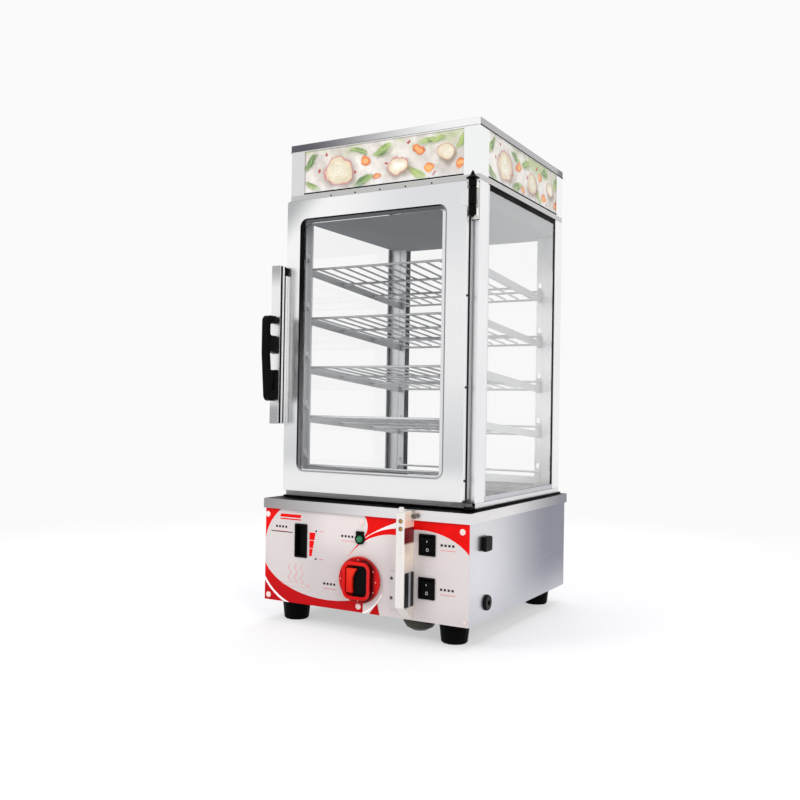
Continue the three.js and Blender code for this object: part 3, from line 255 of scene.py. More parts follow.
# Rocker switches: the marks' places over and under the middle, and half their height
MARK_RISE = 0.0064
MARK_HIGH = 0.0021

# Handle channel: its strips from front to back, behind the channel's front
CHANNEL_STRIPS = [(0.0014, 0.0052), (0.0112, 0.0132)]
STRIP_SUNK = 0.0002

# Door gasket: its outer corners and the black edge that shows
GASKET_CORNER = 0.013
GASKET_EDGE = 0.0019

# Header and door trim
PICTURE_LAP = 0.0042
BEAD_PROUD = 0.0008
BEAD_HIGH = 0.0018
BEAD_END = 0.004
BEAD_SUNK = 0.0008
RIVETS_UP = (0.5, 0.368, 0.234)
ROOF_BEAD_HIGH = 0.0012
PLUG_STEPS = (-2, -1, 0, 1, 2)
PLUG_PITCH = 0.0446
PLUG_RISE = 0.0021
PLUG_RADIUS = 0.0014


# Node graphs

class Field:
    """A value that varies over a surface, held as the socket that gives it."""

    def __init__(self, graph, socket):
        self.graph = graph
        self.socket = socket

    def math(self, operation, *others):
        node = self.graph.add("ShaderNodeMath")
        node.operation = operation
        for index, value in enumerate((self, *others)):
            self.graph.feed(node.inputs[index], value)
        return Field(self.graph, node.outputs[0])

    def __add__(self, other):
        return self.math("ADD", other)

    def __sub__(self, other):
        return self.math("SUBTRACT", other)

    def __mul__(self, other):
        return self.math("MULTIPLY", other)

    def size(self):
        return self.math("ABSOLUTE")

    def root(self):
        return self.math("SQRT")

    def rest(self):
        """What is left over after whole numbers."""
        return self.math("FRACT")

    def above(self, limit):
        return self.math("GREATER_THAN", limit)

    def below(self, limit):
        return self.math("LESS_THAN", limit)

    def most(self, other):
        return self.math("MAXIMUM", other)

    def flipped(self):
        return (self * -1.0) + 1.0

    def span(self, low, high, start=0.0, end=1.0, shape="SMOOTHSTEP"):
        """The value moved from low..high to start..end and held at the ends."""
        node = self.graph.add("ShaderNodeMapRange")
        node.interpolation_type = shape
        self.graph.feed(node.inputs["Value"], self)
        node.inputs["From Min"].default_value = low
        node.inputs["From Max"].default_value = high
        node.inputs["To Min"].default_value = start
        node.inputs["To Max"].default_value = end
        return Field(self.graph, node.outputs["Result"])


class Graph:
    """A node tree that is being wired."""

    def __init__(self, tree):
        self.nodes = tree.nodes
        self.links = tree.links

    def add(self, kind):
        return self.nodes.new(kind)

    def feed(self, socket, value):
        if isinstance(value, Field):
            self.links.new(value.socket, socket)
        elif isinstance(value, bpy.types.NodeSocket):
            self.links.new(value, socket)
        else:
            socket.default_value = value

    def mix(self, share, low, high):
        node = self.add("ShaderNodeMix")
        node.data_type = "RGBA"
        self.feed(node.inputs["Factor"], share)
        self.feed(node.inputs[6], low)
        self.feed(node.inputs[7], high)
        return node.outputs[2]

    def rays(self, *kinds):
        """One for rays of the given kinds, and nought for the others."""
        path = self.add("ShaderNodeLightPath")
        chosen = [Field(self, path.outputs[kind]) for kind in kinds]
        share = chosen[0]
        for other in chosen[1:]:
            share = share.most(other)
        return share

    def finish_with(self, share, first, second, end):
        """Ends the tree with a blend of two shaders."""
        blend = self.add("ShaderNodeMixShader")
        self.feed(blend.inputs[0], share)
        self.feed(blend.inputs[1], first.outputs[0])
        self.feed(blend.inputs[2], second.outputs[0])
        self.feed(end.inputs["Surface"], blend.outputs[0])


class Finish(Graph):
    """A material: its nodes, its Principled shader and the place of each point in metres."""

    def __init__(self, name, **sockets):
        self.material = bpy.data.materials.new(name)
        self.material.use_nodes = True
        super().__init__(self.material.node_tree)
        self.shader = self.nodes["Principled BSDF"]
        self.output = self.nodes["Material Output"]
        self.place = self.add("ShaderNodeTexCoord").outputs["Object"]
        for socket, value in sockets.items():
            self.shader.inputs[socket.replace("_", " ")].default_value = value

    def axes(self):
        node = self.add("ShaderNodeSeparateXYZ")
        self.feed(node.inputs[0], self.place)
        return [Field(self, socket) for socket in node.outputs]

    def along(self, way):
        """The place along an axis, or along a slanting way given by its three shares."""
        axes = self.axes()
        if isinstance(way, int):
            return axes[way]
        return axes[0] * way[0] + axes[1] * way[1] + axes[2] * way[2]

    def noise(self, scale, detail=2.0, stretch=(1, 1, 1), distortion=0.0, offset=(0, 0, 0)):
        mapping = self.add("ShaderNodeMapping")
        self.feed(mapping.inputs["Vector"], self.place)
        mapping.inputs["Scale"].default_value = stretch
        mapping.inputs["Location"].default_value = offset
        node = self.add("ShaderNodeTexNoise")
        self.feed(node.inputs["Vector"], mapping.outputs[0])
        node.inputs["Scale"].default_value = scale
        node.inputs["Detail"].default_value = detail
        node.inputs["Distortion"].default_value = distortion
        return Field(self, node.outputs["Fac"])

    def colour(self, value):
        self.feed(self.shader.inputs["Base Color"], value)

    def roughness(self, value):
        self.feed(self.shader.inputs["Roughness"], value)

    def bump(self, height, strength, distance=0.0003):
        node = self.add("ShaderNodeBump")
        node.inputs["Strength"].default_value = strength
        node.inputs["Distance"].default_value = distance
        self.feed(node.inputs["Height"], height)
        self.feed(self.shader.inputs["Normal"], node.outputs["Normal"])


# Brushing directions: along the sheet, up it, and from front to back
LEVEL_GRAIN = (1.0, 1.0, 60.0)
UPRIGHT_GRAIN = (60.0, 60.0, 1.0)
DEEP_GRAIN = (60.0, 1.0, 60.0)

# Sides of a node's box: its axis, its low or high corner, and the direction that leads inwards
SIDES = {
    "left": (0, 0, 1), "right": (0, 1, -1), "front": (1, 0, 1), "back": (1, 1, -1),
    "bottom": (2, 0, 1), "top": (2, 1, -1),
}


def fades_of(node, rows):
    """Painted light and painted shade over a node: the axis or slanting way, the start, the end and the last
    colour.

    A row names a side of the node's box and gives both distances inwards from it. A row with a
    slanting way gives both places along that way."""
    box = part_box(node)
    fades = []
    for way, start, end, shade in rows:
        if way in SIDES:
            axis, corner, inwards = SIDES[way]
            edge = box[corner][axis]
            fades.append((axis, edge + inwards * start, edge + inwards * end, tone(*shade)))
        else:
            fades.append((way, start, end, tone(*shade)))
    return fades


# Metals

def brushed_steel(name, light, dark, grain, rough=0.3, fades=(), **sockets):
    """Stainless sheet: fine lines along one direction, soft clouds and a few wiped marks."""
    steel = Finish(name, **{"Metallic": 1.0, **sockets})
    lines = steel.noise(9.0, 3.0, grain)
    clouds = steel.noise(5.0, 1.0)
    wipes = steel.noise(22.0, 3.0, distortion=1.0)
    worn = clouds * 0.6 + lines * 0.25 + wipes * 0.15
    colour = steel.mix(worn.span(0.32, 0.68), dark, light)
    # Each fade paints light or shade over the sheet, broken a little by its brushing lines
    for way, start, end, shade in fades:
        colour = steel.mix(steel.along(way).span(start, end) * (lines * 0.1 + 0.93), colour, shade)
    steel.colour(colour)
    steel.roughness(lines * 0.06 + wipes.span(0.35, 0.75) * 0.05 + (rough - 0.05))
    steel.bump(lines, 0.03)
    return steel.material


def polished_wire(name, light, dark):
    """Drawn and polished wire, with faint drawing lines and duller spots."""
    wire = Finish(name, Metallic=1.0)
    spots = wire.noise(90.0, 3.0)
    wire.colour(wire.mix(spots.span(0.35, 0.7), light, dark))
    wire.roughness(spots.span(0.3, 0.8, 0.1, 0.26))
    wire.bump(wire.noise(400.0, 2.0), 0.05, 0.0002)
    return wire.material


# Glass

def clear_glass(name, tint, density):
    """Toughened sheet glass with a trace of wiped haze; lamps shine through it."""
    glass = Finish(name, Metallic=0.0, IOR=density, Transmission_Weight=1.0)
    haze = glass.noise(14.0, 3.0, distortion=0.8)
    glass.colour(glass.mix(haze.span(0.5, 0.9), tint, tone(253, 253, 254)))
    glass.roughness(haze.span(0.6, 0.9, 0.0, 0.012))
    clear = glass.add("ShaderNodeBsdfTransparent")
    glass.finish_with(glass.rays("Is Shadow Ray", "Is Diffuse Ray"), glass.shader, clear, glass.output)
    return glass.material


# Rubber and plastics

def moulded(name, light, dark, rough=0.42, relief=0.08, fades=(), **sockets):
    """Moulded rubber or plastic: fine moulding grain, and dull and shiny patches."""
    mould = Finish(name, Metallic=0.0, **sockets)
    grain = mould.noise(260.0, 3.0)
    patches = mould.noise(18.0, 3.0)
    colour = mould.mix(patches.span(0.3, 0.75), light, dark)
    # Each fade paints light or shade over the piece
    for way, start, end, shade in fades:
        colour = mould.mix(mould.along(way).span(start, end), colour, shade)
    mould.colour(colour)
    mould.roughness(patches.span(0.25, 0.8, rough - 0.08, rough + 0.12))
    mould.bump(grain, relief)
    return mould.material


# Printed sheets

class Print:
    """A flat picture painted in layers over a sheet, with its places in millimetres across and up."""

    def __init__(self, finish, across, up, ground):
        self.finish = finish
        self.across = across
        self.up = up
        self.colour = ground

    def paint(self, mask, colour):
        self.colour = self.finish.mix(mask, self.colour, colour)

    def turned(self, centre, angle):
        """Across and up from a centre, turned by an angle in degrees."""
        across = self.across - centre[0]
        up = self.up - centre[1]
        cosine = math.cos(math.radians(angle))
        sine = math.sin(math.radians(angle))
        return across * cosine + up * sine, up * cosine - across * sine

    def oval(self, centre, radii, angle=0.0):
        """Distance from the middle of an oval, where 1 is its edge."""
        across, up = self.turned(centre, angle)
        across = across * (1 / radii[0])
        up = up * (1 / radii[1])
        return (across * across + up * up).root()

    def ring(self, centre, radius):
        """Distance from a circle's line."""
        return (self.oval(centre, (1, 1)) - radius).size()

    def disc(self, centre, radii, angle=0.0, soft=0.02):
        return self.oval(centre, radii, angle).span(1 - soft, 1 + soft, 1.0, 0.0)

    def box(self, left=-FAR, right=FAR, low=-FAR, top=FAR):
        """One inside a box, whose sides that aren't given lie far out."""
        inside = self.across.above(left) * self.across.below(right)
        return inside * self.up.above(low) * self.up.below(top)


def ring_rubber(name, low, high):
    """Door gasket: black along its rounded outer edge, with painted light: its lip painted pale grey as a
    painted reflection of what it faces, darker grey along the top and grey fading to black up the left, and
    the black edge painted grey along the right and the bottom.
    """
    ring = Finish(name, Metallic=0.0, Specular_IOR_Level=0.02)
    x, y, z = ring.axes()
    middle = (low + high) / 2
    beyond_x = ((x - middle.x).size() - (high.x - middle.x - GASKET_CORNER)).most(0.0)
    beyond_z = ((z - middle.z).size() - (high.z - middle.z - GASKET_CORNER)).most(0.0)
    inset = (beyond_x * beyond_x + beyond_z * beyond_z).root() * -1.0 + GASKET_CORNER
    patches = ring.noise(18.0, 3.0)
    black = ring.mix(patches.span(0.3, 0.75), tone(12, 12, 13), tone(6, 6, 7))
    upper = z.span(high.z - 0.012, high.z - 0.006)
    left = x.span(low.x + 0.012, low.x + 0.008)
    # Painted light on the lip: grey low on the left fading to black higher up, darker grey along the top,
    # pale grey elsewhere
    left_lip = ring.mix(z.span(low.z + 0.04, low.z + 0.3), tone(104, 104, 106), tone(14, 14, 15))
    lip = ring.mix(upper, tone(204, 204, 206), tone(84, 86, 89))
    lip = ring.mix(left, lip, left_lip)
    # Painted light on the black edge: grey along the right and paler grey along the bottom
    edge = ring.mix(x.span(high.x - 0.012, high.x - 0.004), black, tone(120, 121, 123))
    edge = ring.mix(z.span(low.z + 0.012, low.z + 0.004), edge, tone(150, 150, 152))
    ring.colour(ring.mix(inset.span(GASKET_EDGE - 0.0003, GASKET_EDGE + 0.0003), edge, lip))
    ring.roughness(patches.span(0.25, 0.8, 0.4, 0.6))
    ring.bump(ring.noise(260.0, 3.0), 0.08)
    return ring.material


def knob_red(name):
    """Red plastic of the knob, with painted shade in the step round its collar and on the right of the
    collar's front, and warmer painted highlights on the skirt's rim, the grip bar and the top of the
    collar's front.
    """
    red = Finish(name, Metallic=0.0, Specular_IOR_Level=0.12)
    x, y, z = red.axes()
    art = Print(red, (x - KNOB_X) * (1 / MM), (z - KNOB_Z) * (1 / MM), tone(208, 8, 10))
    patches = red.noise(30.0, 3.0)
    art.paint(patches.span(0.35, 0.7) * 0.6, tone(190, 5, 9))
    reach = (art.across.size() - (COLLAR_WIDE - COLLAR_CORNER) / MM).most(0.0)
    rise = (art.up.size() - (COLLAR_HIGH - COLLAR_CORNER) / MM).most(0.0)
    beyond = (reach * reach + rise * rise).root() - COLLAR_CORNER / MM
    collar_front = KNOB_FACE - COLLAR_PROUD
    # Painted shade in the step round the collar, deepest close to it and on its right
    step = y.span(collar_front + 0.001, collar_front + 0.0024) * beyond.span(-1.2, -0.4)
    shaded = step * beyond.span(2.0, 8.5, 1.0, 0.0) * art.across.span(-12.0, 16.0, 0.45, 0.97)
    art.paint(shaded, tone(70, 0, 2))
    # Painted highlight: the skirt's rim is painted a paler orange red
    art.paint(art.disc((0, 0), (34.0, 34.0), soft=0.03).flipped() * 0.4, tone(232, 62, 54))
    # Painted highlight on the grip bar, stronger towards its top
    grip = art.box(BAR_LEFT / MM - 0.6, 2.0, -BAR_HIGH / MM - 0.6, BAR_HIGH / MM + 0.6)
    art.paint(grip * art.up.span(-16.0, 16.0, 0.3, 0.85), tone(230, 50, 26))
    # Painted highlight on the top of the collar's front, and painted shade on its right
    front = y.span(collar_front + 0.0018, collar_front + 0.0006)
    art.paint(art.up.span(4.0, 26.0, 0.0, 0.35) * front, tone(232, 44, 32))
    art.paint(art.across.span(14.0, 22.0, 0.0, 0.6) * front, tone(194, 40, 44))
    red.colour(art.colour)
    red.roughness(patches.span(0.25, 0.8, 0.24, 0.38))
    red.bump(red.noise(260.0, 3.0), 0.06)
    return red.material


def column_steel(name, low, high):
    """Fill column: smooth and warm, browned round its two front screws, its side painted with warm light,
    paler higher up, and crossed by a painted dark red reflection of the panel.
    """
    steel = Finish(name, Metallic=0.3)
    x, y, z = steel.axes()
    lines = steel.noise(9.0, 3.0, UPRIGHT_GRAIN)
    wipes = steel.noise(22.0, 3.0, distortion=1.0)
    art = Print(steel, (x - high.x + COLUMN_SCREW_IN) * (1 / MM), (z - high.z) * (1 / MM),
                steel.mix(lines.span(0.32, 0.68), tone(222, 217, 213), tone(230, 225, 221)))
    for drop in COLUMN_SCREWS_DOWN:
        art.paint(art.disc((0, -drop / MM), (3.4, 3.4), soft=0.22) * y.below(low.y + MM), tone(118, 92, 60))
    flange = x.below(high.x - FLANGE_WIDE)
    colour = steel.mix(flange, art.colour, tone(204, 197, 196))
    # Painted light on the right side: warm, paler higher up, with a band of painted dark red reflection of
    # the panel across it
    band = z.span(*COLUMN_RED_REFLECTION_LOW) * z.span(*COLUMN_RED_REFLECTION_TOP)
    side = steel.mix(z.span(0.1, 0.13), tone(222, 212, 204), tone(250, 234, 216))
    side = steel.mix(band, side, tone(122, 14, 22))
    steel.colour(steel.mix(x.above(high.x - 0.0006), colour, side))
    steel.roughness(lines * 0.06 + wipes.span(0.35, 0.75, 0.26, 0.34))
    steel.bump(lines, 0.03)
    return steel.material


def panel_bands(art, red):
    """Red curved bands with white lines along them."""
    for centre, radii, sides in OVAL_BANDS:
        art.paint(art.oval(centre, radii).above(1.0) * art.box(**sides), red)
    art.paint(art.ring(*SWOOSH).below(SWOOSH_HALF) * art.box(right=-100, top=80), PANEL_WHITE)
    beyond = art.oval(*CREST_END).above(1.0) * art.box(left=2, right=70)
    line = art.ring(CREST_MIDDLE, CREST_RADIUS - CREST_LINE_HALF).below(CREST_LINE_HALF)
    art.paint(line * beyond, PANEL_WHITE)
    art.paint(art.oval(CREST_MIDDLE, (1, 1)).above(CREST_RADIUS) * beyond, red)
    ribbon = art.ring(*RIBBON) - (art.across - RIBBON_START) * RIBBON_GROWTH
    art.paint(ribbon.below(0.0) * art.box(left=RIBBON_START, right=64, low=100), red)
    across = art.across - WEDGE_FOOT[0]
    up = art.up - WEDGE_FOOT[1]
    wedge = (up - across * WEDGE_SLOPE).below(0.0) * (across + up * WEDGE_LEAN).below(WEDGE_WIDE)
    art.paint(wedge * art.box(left=14, top=52), red)
    art.paint(art.ring(*HEM).below(HEM_HALF) * art.box(4, 38, top=62), PANEL_WHITE)


def panel_captions(art, red):
    """Plain rows of blocks over thin lines beside the controls, and two slanting stripes."""
    for across, up in CAPTIONS:
        left = across - CAPTION_HALF
        right = across + CAPTION_HALF
        row = art.box(left, right, up - CAPTION_HIGH / 2, up + CAPTION_HIGH / 2)
        blocks = ((art.across - left) * (1 / CAPTION_PITCH)).rest().below(CAPTION_BLOCK)
        art.paint(row * blocks, PANEL_INK)
        art.paint(art.box(left, right, up + CAPTION_RULE[0], up + CAPTION_RULE[1]) * FAINT, red)
    for low, top in STRIPES:
        start = art.across - (art.up - low) * STRIPE_LEAN
        art.paint(start.above(STRIPE_LEFT) * start.below(STRIPE_RIGHT) * art.box(low=low, top=top), red)


def panel_scale(art, red):
    """Stepped level scale, with a mark and a short line at its ends, and a rule by the level window."""
    above_foot = art.up - SCALE_LOW
    scale = art.box(left=SCALE_LEFT, low=SCALE_LOW, top=SCALE_TOP)
    scale = scale * art.across.below(above_foot * SCALE_SLANT + SCALE_TIP)
    art.paint(scale * (above_foot * (1 / SCALE_STEP)).rest().above(SCALE_GAP), red)
    art.paint(art.box(*LEVEL_RULE), PANEL_INK)
    for up in SCALE_MARKS_UP:
        art.paint(art.disc((SCALE_MARK_X, up), (1.9, 1.4), soft=0.1), PANEL_INK)
        art.paint(art.box(*SCALE_LINE, up - 0.5, up + 0.5) * FAINT, red)


def panel_steam(art):
    """Three curls of steam over a flat dish."""
    for across in STEAM_CURLS:
        sway = (art.up * STEAM_TURNS).math("SINE") * STEAM_SWAY + across
        curl = (art.across - sway).size().span(0.35, 0.95, 0.75, 0.0)
        art.paint(curl * art.box(low=STEAM_LOW, top=STEAM_TOP), PANEL_BLUSH)
    dish = art.oval(*DISH)
    art.paint(dish.span(0.9, 1.0, 0.0, 0.6) * dish.span(1.0, 1.14, 1.0, 0.0), PANEL_BLUSH)


def panel_print():
    """Front panel: a printed film on steel."""
    film = Finish("panel_film", Metallic=0.0, Coat_Weight=0.02, Coat_Roughness=0.2, Specular_IOR_Level=0.1)
    x, y, z = film.axes()
    clouds = film.noise(5.0, 2.0)
    lines = film.noise(8.0, 3.0, LEVEL_GRAIN)
    ground = film.mix((clouds * 0.88 + lines * 0.12).span(0.35, 0.65), PANEL_SHADE, PANEL_LIGHT)
    # Painted highlight: the upper middle of the panel is painted paler
    upper = z.span(0.09, 0.15) * (x - PANEL_MIDDLE.x).size().span(0.11, 0.05)
    ground = film.mix(upper * 0.8, ground, PANEL_PAINTED_HIGHLIGHT)
    art = Print(film, (x - PANEL_MIDDLE.x) * (1 / MM), z * (1 / MM), ground)
    tint = film.noise(30.0, 4.0)
    red = film.mix(tint.span(0.3, 0.7), PANEL_RED, PANEL_RED_DEEP)
    red = film.mix(z.span(0.11, 0.045), red, PANEL_RED_LOW)
    panel_bands(art, red)
    panel_captions(art, red)
    panel_scale(art, red)
    panel_steam(art)
    film.colour(art.colour)
    film.roughness(clouds.span(0.3, 0.8, 0.3, 0.42))
    film.bump(film.noise(120.0, 3.0), 0.03)
    return film.material


def picture_leaves(sheet, art, mottle):
    """Leaves with a pale rib, each over its own soft shade."""
    blade = sheet.mix(mottle.span(0.38, 0.62), tone(74, 118, 52), tone(164, 186, 104))
    for centre, radii, angle in LEAVES:
        below = (centre[0] + 2, centre[1] - 3)
        art.paint(art.disc(below, radii, angle, 0.4) * 0.45, tone(126, 122, 104))
        leaf = art.disc(centre, radii, angle, 0.2)
        rib = art.turned(centre, angle)[1].size().below(0.5)
        art.paint(leaf * 0.92, blade)
        art.paint(leaf * rib * 0.6, tone(198, 210, 150))


def picture_slices(sheet, art, mottle):
    """Orange root slices with a pale heart."""
    flesh = sheet.mix(mottle.span(0.35, 0.65), tone(206, 84, 30), tone(238, 152, 78))
    for centre, radius in SLICES:
        distance = art.oval(centre, (radius, radius * 0.8))
        art.paint(distance.span(0.86, 1.2, 0.5, 0.0), tone(150, 110, 84))
        art.paint(distance.span(0.86, 1.0, 1.0, 0.0), flesh)
        art.paint(distance.span(0.4, 0.7, 0.7, 0.0), tone(244, 188, 124))


def picture_rounds(sheet, art, mottle):
    """Large pale slices with rings and a pink rind, each over its own soft shade."""
    for centre, radius in ROUNDS:
        below = (centre[0] + 3, centre[1] - 5)
        shade = art.disc(below, (radius * 1.14, radius * 0.9), soft=0.3)
        art.paint(shade * 0.75, tone(124, 108, 88))
        distance = art.oval(centre, (radius, radius * 0.84))
        flesh = sheet.mix(distance.span(0.2, 1.0), tone(244, 240, 228), tone(216, 202, 170))
        flesh = sheet.mix(mottle.span(0.45, 0.62, 0.0, 0.4), flesh, tone(200, 184, 148))
        rings = (distance * 4.5).rest().span(0.7, 0.95)
        flesh = sheet.mix(rings * 0.6, flesh, tone(206, 190, 160))
        flesh = sheet.mix(distance.span(0.88, 0.98), flesh, tone(196, 110, 120))
        art.paint(distance.span(0.94, 1.06, 1.0, 0.0), flesh)


def picture_berries(art):
    """Small red berries with a soft light on each."""
    for centre, radius in BERRIES:
        glint = radius * 0.35
        art.paint(art.disc(centre, (radius, radius), soft=0.2), tone(164, 44, 38))
        art.paint(art.disc((centre[0] - 1, centre[1] + 1), (glint, glint), soft=0.3), tone(226, 150, 140))


def picture_print(name, across_axis):
    """Back-lit header picture: pale round slices, leaves, root slices and berries on a cloth."""
    sheet = Finish(
        name + "_print", Metallic=0.0, Emission_Strength=PICTURE_GLOW, Coat_Weight=0.03, Coat_Roughness=0.12,
    )
    low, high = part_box(name)
    middle = (low + high) / 2
    share = (high[across_axis] - low[across_axis]) / PICTURE_WIDTH
    axes = sheet.axes()
    sway = sheet.noise(42.0, 4.0)
    swell = sheet.noise(38.0, 4.0, offset=(0.3, 0.3, 0.3))
    across = (axes[across_axis] - middle[across_axis]) * (1 / MM / share) + (sway - 0.5) * PICTURE_SWAY
    up = (axes[2] - middle[2]) * (1 / MM) + (swell - 0.5) * PICTURE_SWELL
    mottle = sheet.noise(30.0, 5.0, distortion=0.8)
    folds = sheet.noise(11.0, 3.0, distortion=1.8)
    cloth = sheet.mix(folds.span(0.3, 0.68), tone(234, 229, 222), tone(196, 188, 181))
    cloth = sheet.mix(mottle.span(0.45, 0.75, 0.0, 0.5), cloth, tone(238, 234, 228))
    art = Print(sheet, across, up, cloth)
    far_green = sheet.noise(9.0, 2.0, distortion=1.5)
    art.paint(far_green.span(0.48, 0.7) * up.span(-5, 30) * 0.8, tone(168, 184, 120))
    picture_leaves(sheet, art, mottle)
    picture_slices(sheet, art, mottle)
    picture_rounds(sheet, art, mottle)
    picture_berries(art)
    grain = sheet.noise(120.0, 4.0)
    colour = sheet.mix(grain.span(0.35, 0.65, 0.0, 0.12), art.colour, tone(120, 110, 104))
    colour = sheet.mix(up.span(-38, -18, 0.7, 0.0), colour, tone(232, 232, 234))
    sheet.colour(colour)
    sheet.feed(sheet.shader.inputs["Emission Color"], colour)
    sheet.roughness(mottle.span(0.3, 0.8, 0.24, 0.38))
    sheet.bump(sheet.noise(140.0, 2.0), 0.03)
    return sheet.material


def dress(material, *names):
    """Gives CAD nodes one material."""
    for name in names:
        for slot in frame["nodes"][name].material_slots:
            slot.material = material


# Modelling

def alone(piece):
    """Makes a piece the only selected one."""
    bpy.ops.object.select_all(action="DESELECT")
    piece.select_set(True)
    bpy.context.view_layer.objects.active = piece


@contextmanager
def edited(piece):
    """Opens a piece for editing, with nothing in it selected."""
    alone(piece)
    bpy.ops.object.mode_set(mode="EDIT")
    bpy.ops.mesh.select_all(action="DESELECT")
    yield piece
    bpy.ops.object.mode_set(mode="OBJECT")


def pick(piece, kind, test):
    """Selects only the faces, edges or points of an open piece that pass a test."""
    bpy.ops.mesh.select_mode(type=kind)
    bpy.ops.mesh.select_all(action="DESELECT")
    mesh = bmesh.from_edit_mesh(piece.data)
    parts = {"FACE": mesh.faces, "EDGE": mesh.edges, "VERT": mesh.verts}[kind]
    for part in [part for part in parts if test(part)]:
        part.select_set(True)
    bmesh.update_edit_mesh(piece.data)


def runs_back(edge):
    """Whether an edge runs from front to back."""
    return abs((edge.verts[0].co - edge.verts[1].co).normalized().y) > 0.9


def looks_ahead(face):
    """Whether a face looks to the front."""
    return face.normal.y < -0.9


def cut(place, way):
    """Cuts an open piece through by a plane, which adds edges to shape it by."""
    bpy.ops.mesh.select_all(action="SELECT")
    bpy.ops.mesh.bisect(plane_co=place, plane_no=way)


def draw_out(shift):
    """Draws what is picked in an open piece out by a shift, with new walls behind it."""
    bpy.ops.mesh.extrude_region_move(TRANSFORM_OT_translate={"value": shift})


def corners_rounded(piece, width, segments):
    """Rounds the edges that run from front to back in an open piece."""
    pick(piece, "EDGE", runs_back)
    bpy.ops.mesh.bevel(offset=width, segments=segments, affect="EDGES")


def fresh(name):
    """The newest primitive, named, with its place put in its mesh."""
    piece = bpy.context.active_object
    piece.name = name
    bpy.ops.object.transform_apply(location=True, rotation=True, scale=True)
    return piece


def block(name, low, high):
    """A block between two corners, to be shaped further."""
    low = Vector(low)
    high = Vector(high)
    bpy.ops.object.select_all(action="DESELECT")
    bpy.ops.mesh.primitive_cube_add(size=1, location=(low + high) / 2, scale=high - low)
    return fresh(name)


def rounded(piece, width, segments=2, angle=40):
    """Rounds the sharp edges of a piece and smooths it."""
    alone(piece)
    edge = piece.modifiers.new("rounded_edges", "BEVEL")
    edge.width = width
    edge.segments = segments
    edge.limit_method = "ANGLE"
    edge.angle_limit = math.radians(angle)
    bpy.ops.object.modifier_apply(modifier=edge.name)
    bpy.ops.object.shade_smooth_by_angle(angle=math.radians(angle))
    return piece


def turned(name, place, axis, profile, count=32):
    """A turned piece: a disc drawn out along an axis through rings given as (along, radius)."""
    place = Vector(place)
    way = Vector(axis)
    along, radius = profile[0]
    bpy.ops.object.select_all(action="DESELECT")
    bpy.ops.mesh.primitive_circle_add(
        vertices=count, radius=radius, fill_type="NGON", location=place + way * along,
        rotation=way.to_track_quat("Z", "Y").to_euler(),
    )
    piece = fresh(name)
    with edited(piece):
        bpy.ops.mesh.select_all(action="SELECT")
        for ring, wide in profile[1:]:
            draw_out(way * (ring - along))
            grow = wide / radius
            bpy.ops.transform.resize(value=(grow, grow, grow), center_override=place + way * ring)
            along, radius = ring, wide
        bpy.ops.mesh.select_all(action="SELECT")
        bpy.ops.mesh.normals_make_consistent(inside=False)
    alone(piece)
    bpy.ops.object.shade_smooth_by_angle(angle=math.radians(35))
    return piece


def twin(piece, name, shift):
    """A copy with a mesh of its own, moved by a shift."""
    alone(piece)
    bpy.ops.object.duplicate()
    copy = bpy.context.active_object
    copy.name = name
    bpy.ops.transform.translate(value=shift)
    bpy.ops.object.transform_apply(location=True, rotation=False, scale=False)
    return copy


def joined(name, pieces):
    """One piece made of several, which keep their shapes."""
    bpy.ops.object.select_all(action="DESELECT")
    for piece in pieces:
        piece.select_set(True)
    bpy.context.view_layer.objects.active = pieces[0]
    if len(pieces) > 1:
        bpy.ops.object.join()
    pieces[0].name = name
    pieces[0].data.name = name
    return pieces[0]


def seat(piece, material, slot, body, *nodes):
    """Ends a piece: its finish, its body and the nodes that it replaces; the slot it stands for is not used.
    """
    piece.data.materials.clear()
    piece.data.materials.append(material)
    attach(piece, body)
    if nodes:
        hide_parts(*nodes)


# Racks

def rack_wires(low, high, level, front, back):
    """Wires from front to back, cross bars under them and the raised rail at the back."""
    middle = (low.x + high.x) / 2
    side = (high.x - low.x) / 2
    fall = Vector((0, back - front, level(back) - level(front)))
    start = Vector((middle - side + WIRE_MARGIN, front, level(front)))
    tip = ROD_TIP
    wire = turned("wire", start, fall.normalized(), [
        (0, WIRE_RADIUS - tip), (tip, WIRE_RADIUS), (fall.length - tip, WIRE_RADIUS),
        (fall.length, WIRE_RADIUS - tip),
    ], 10)
    pitch = 2 * (side - WIRE_MARGIN) / (WIRE_COUNT - 1)
    pieces = [wire] + [
        twin(wire, "wire", Vector((pitch * index, 0, 0))) for index in range(1, WIRE_COUNT)
    ]
    under = WIRE_RADIUS + BAR_RADIUS - WELD_SUNK
    reach = 2 * side - 2 * BAND_THICK + tip
    bar = turned("bar", (low.x + BAND_THICK - tip / 2, front, level(front)), (1, 0, 0), [
        (0, BAR_RADIUS - tip), (tip, BAR_RADIUS), (reach - tip, BAR_RADIUS), (reach, BAR_RADIUS - tip),
    ], 12)
    pieces.append(bar)
    for share in BAR_SHARES:
        y = front + share * (back - front)
        pieces.append(twin(bar, "bar", Vector((0, y - front, level(y) - level(front) - under))))
    rail_rise = level(back) - level(front) + BACK_RAIL_RISE - BAR_RADIUS
    pieces.append(twin(bar, "rail", Vector((0, back - front, rail_rise))))
    return pieces


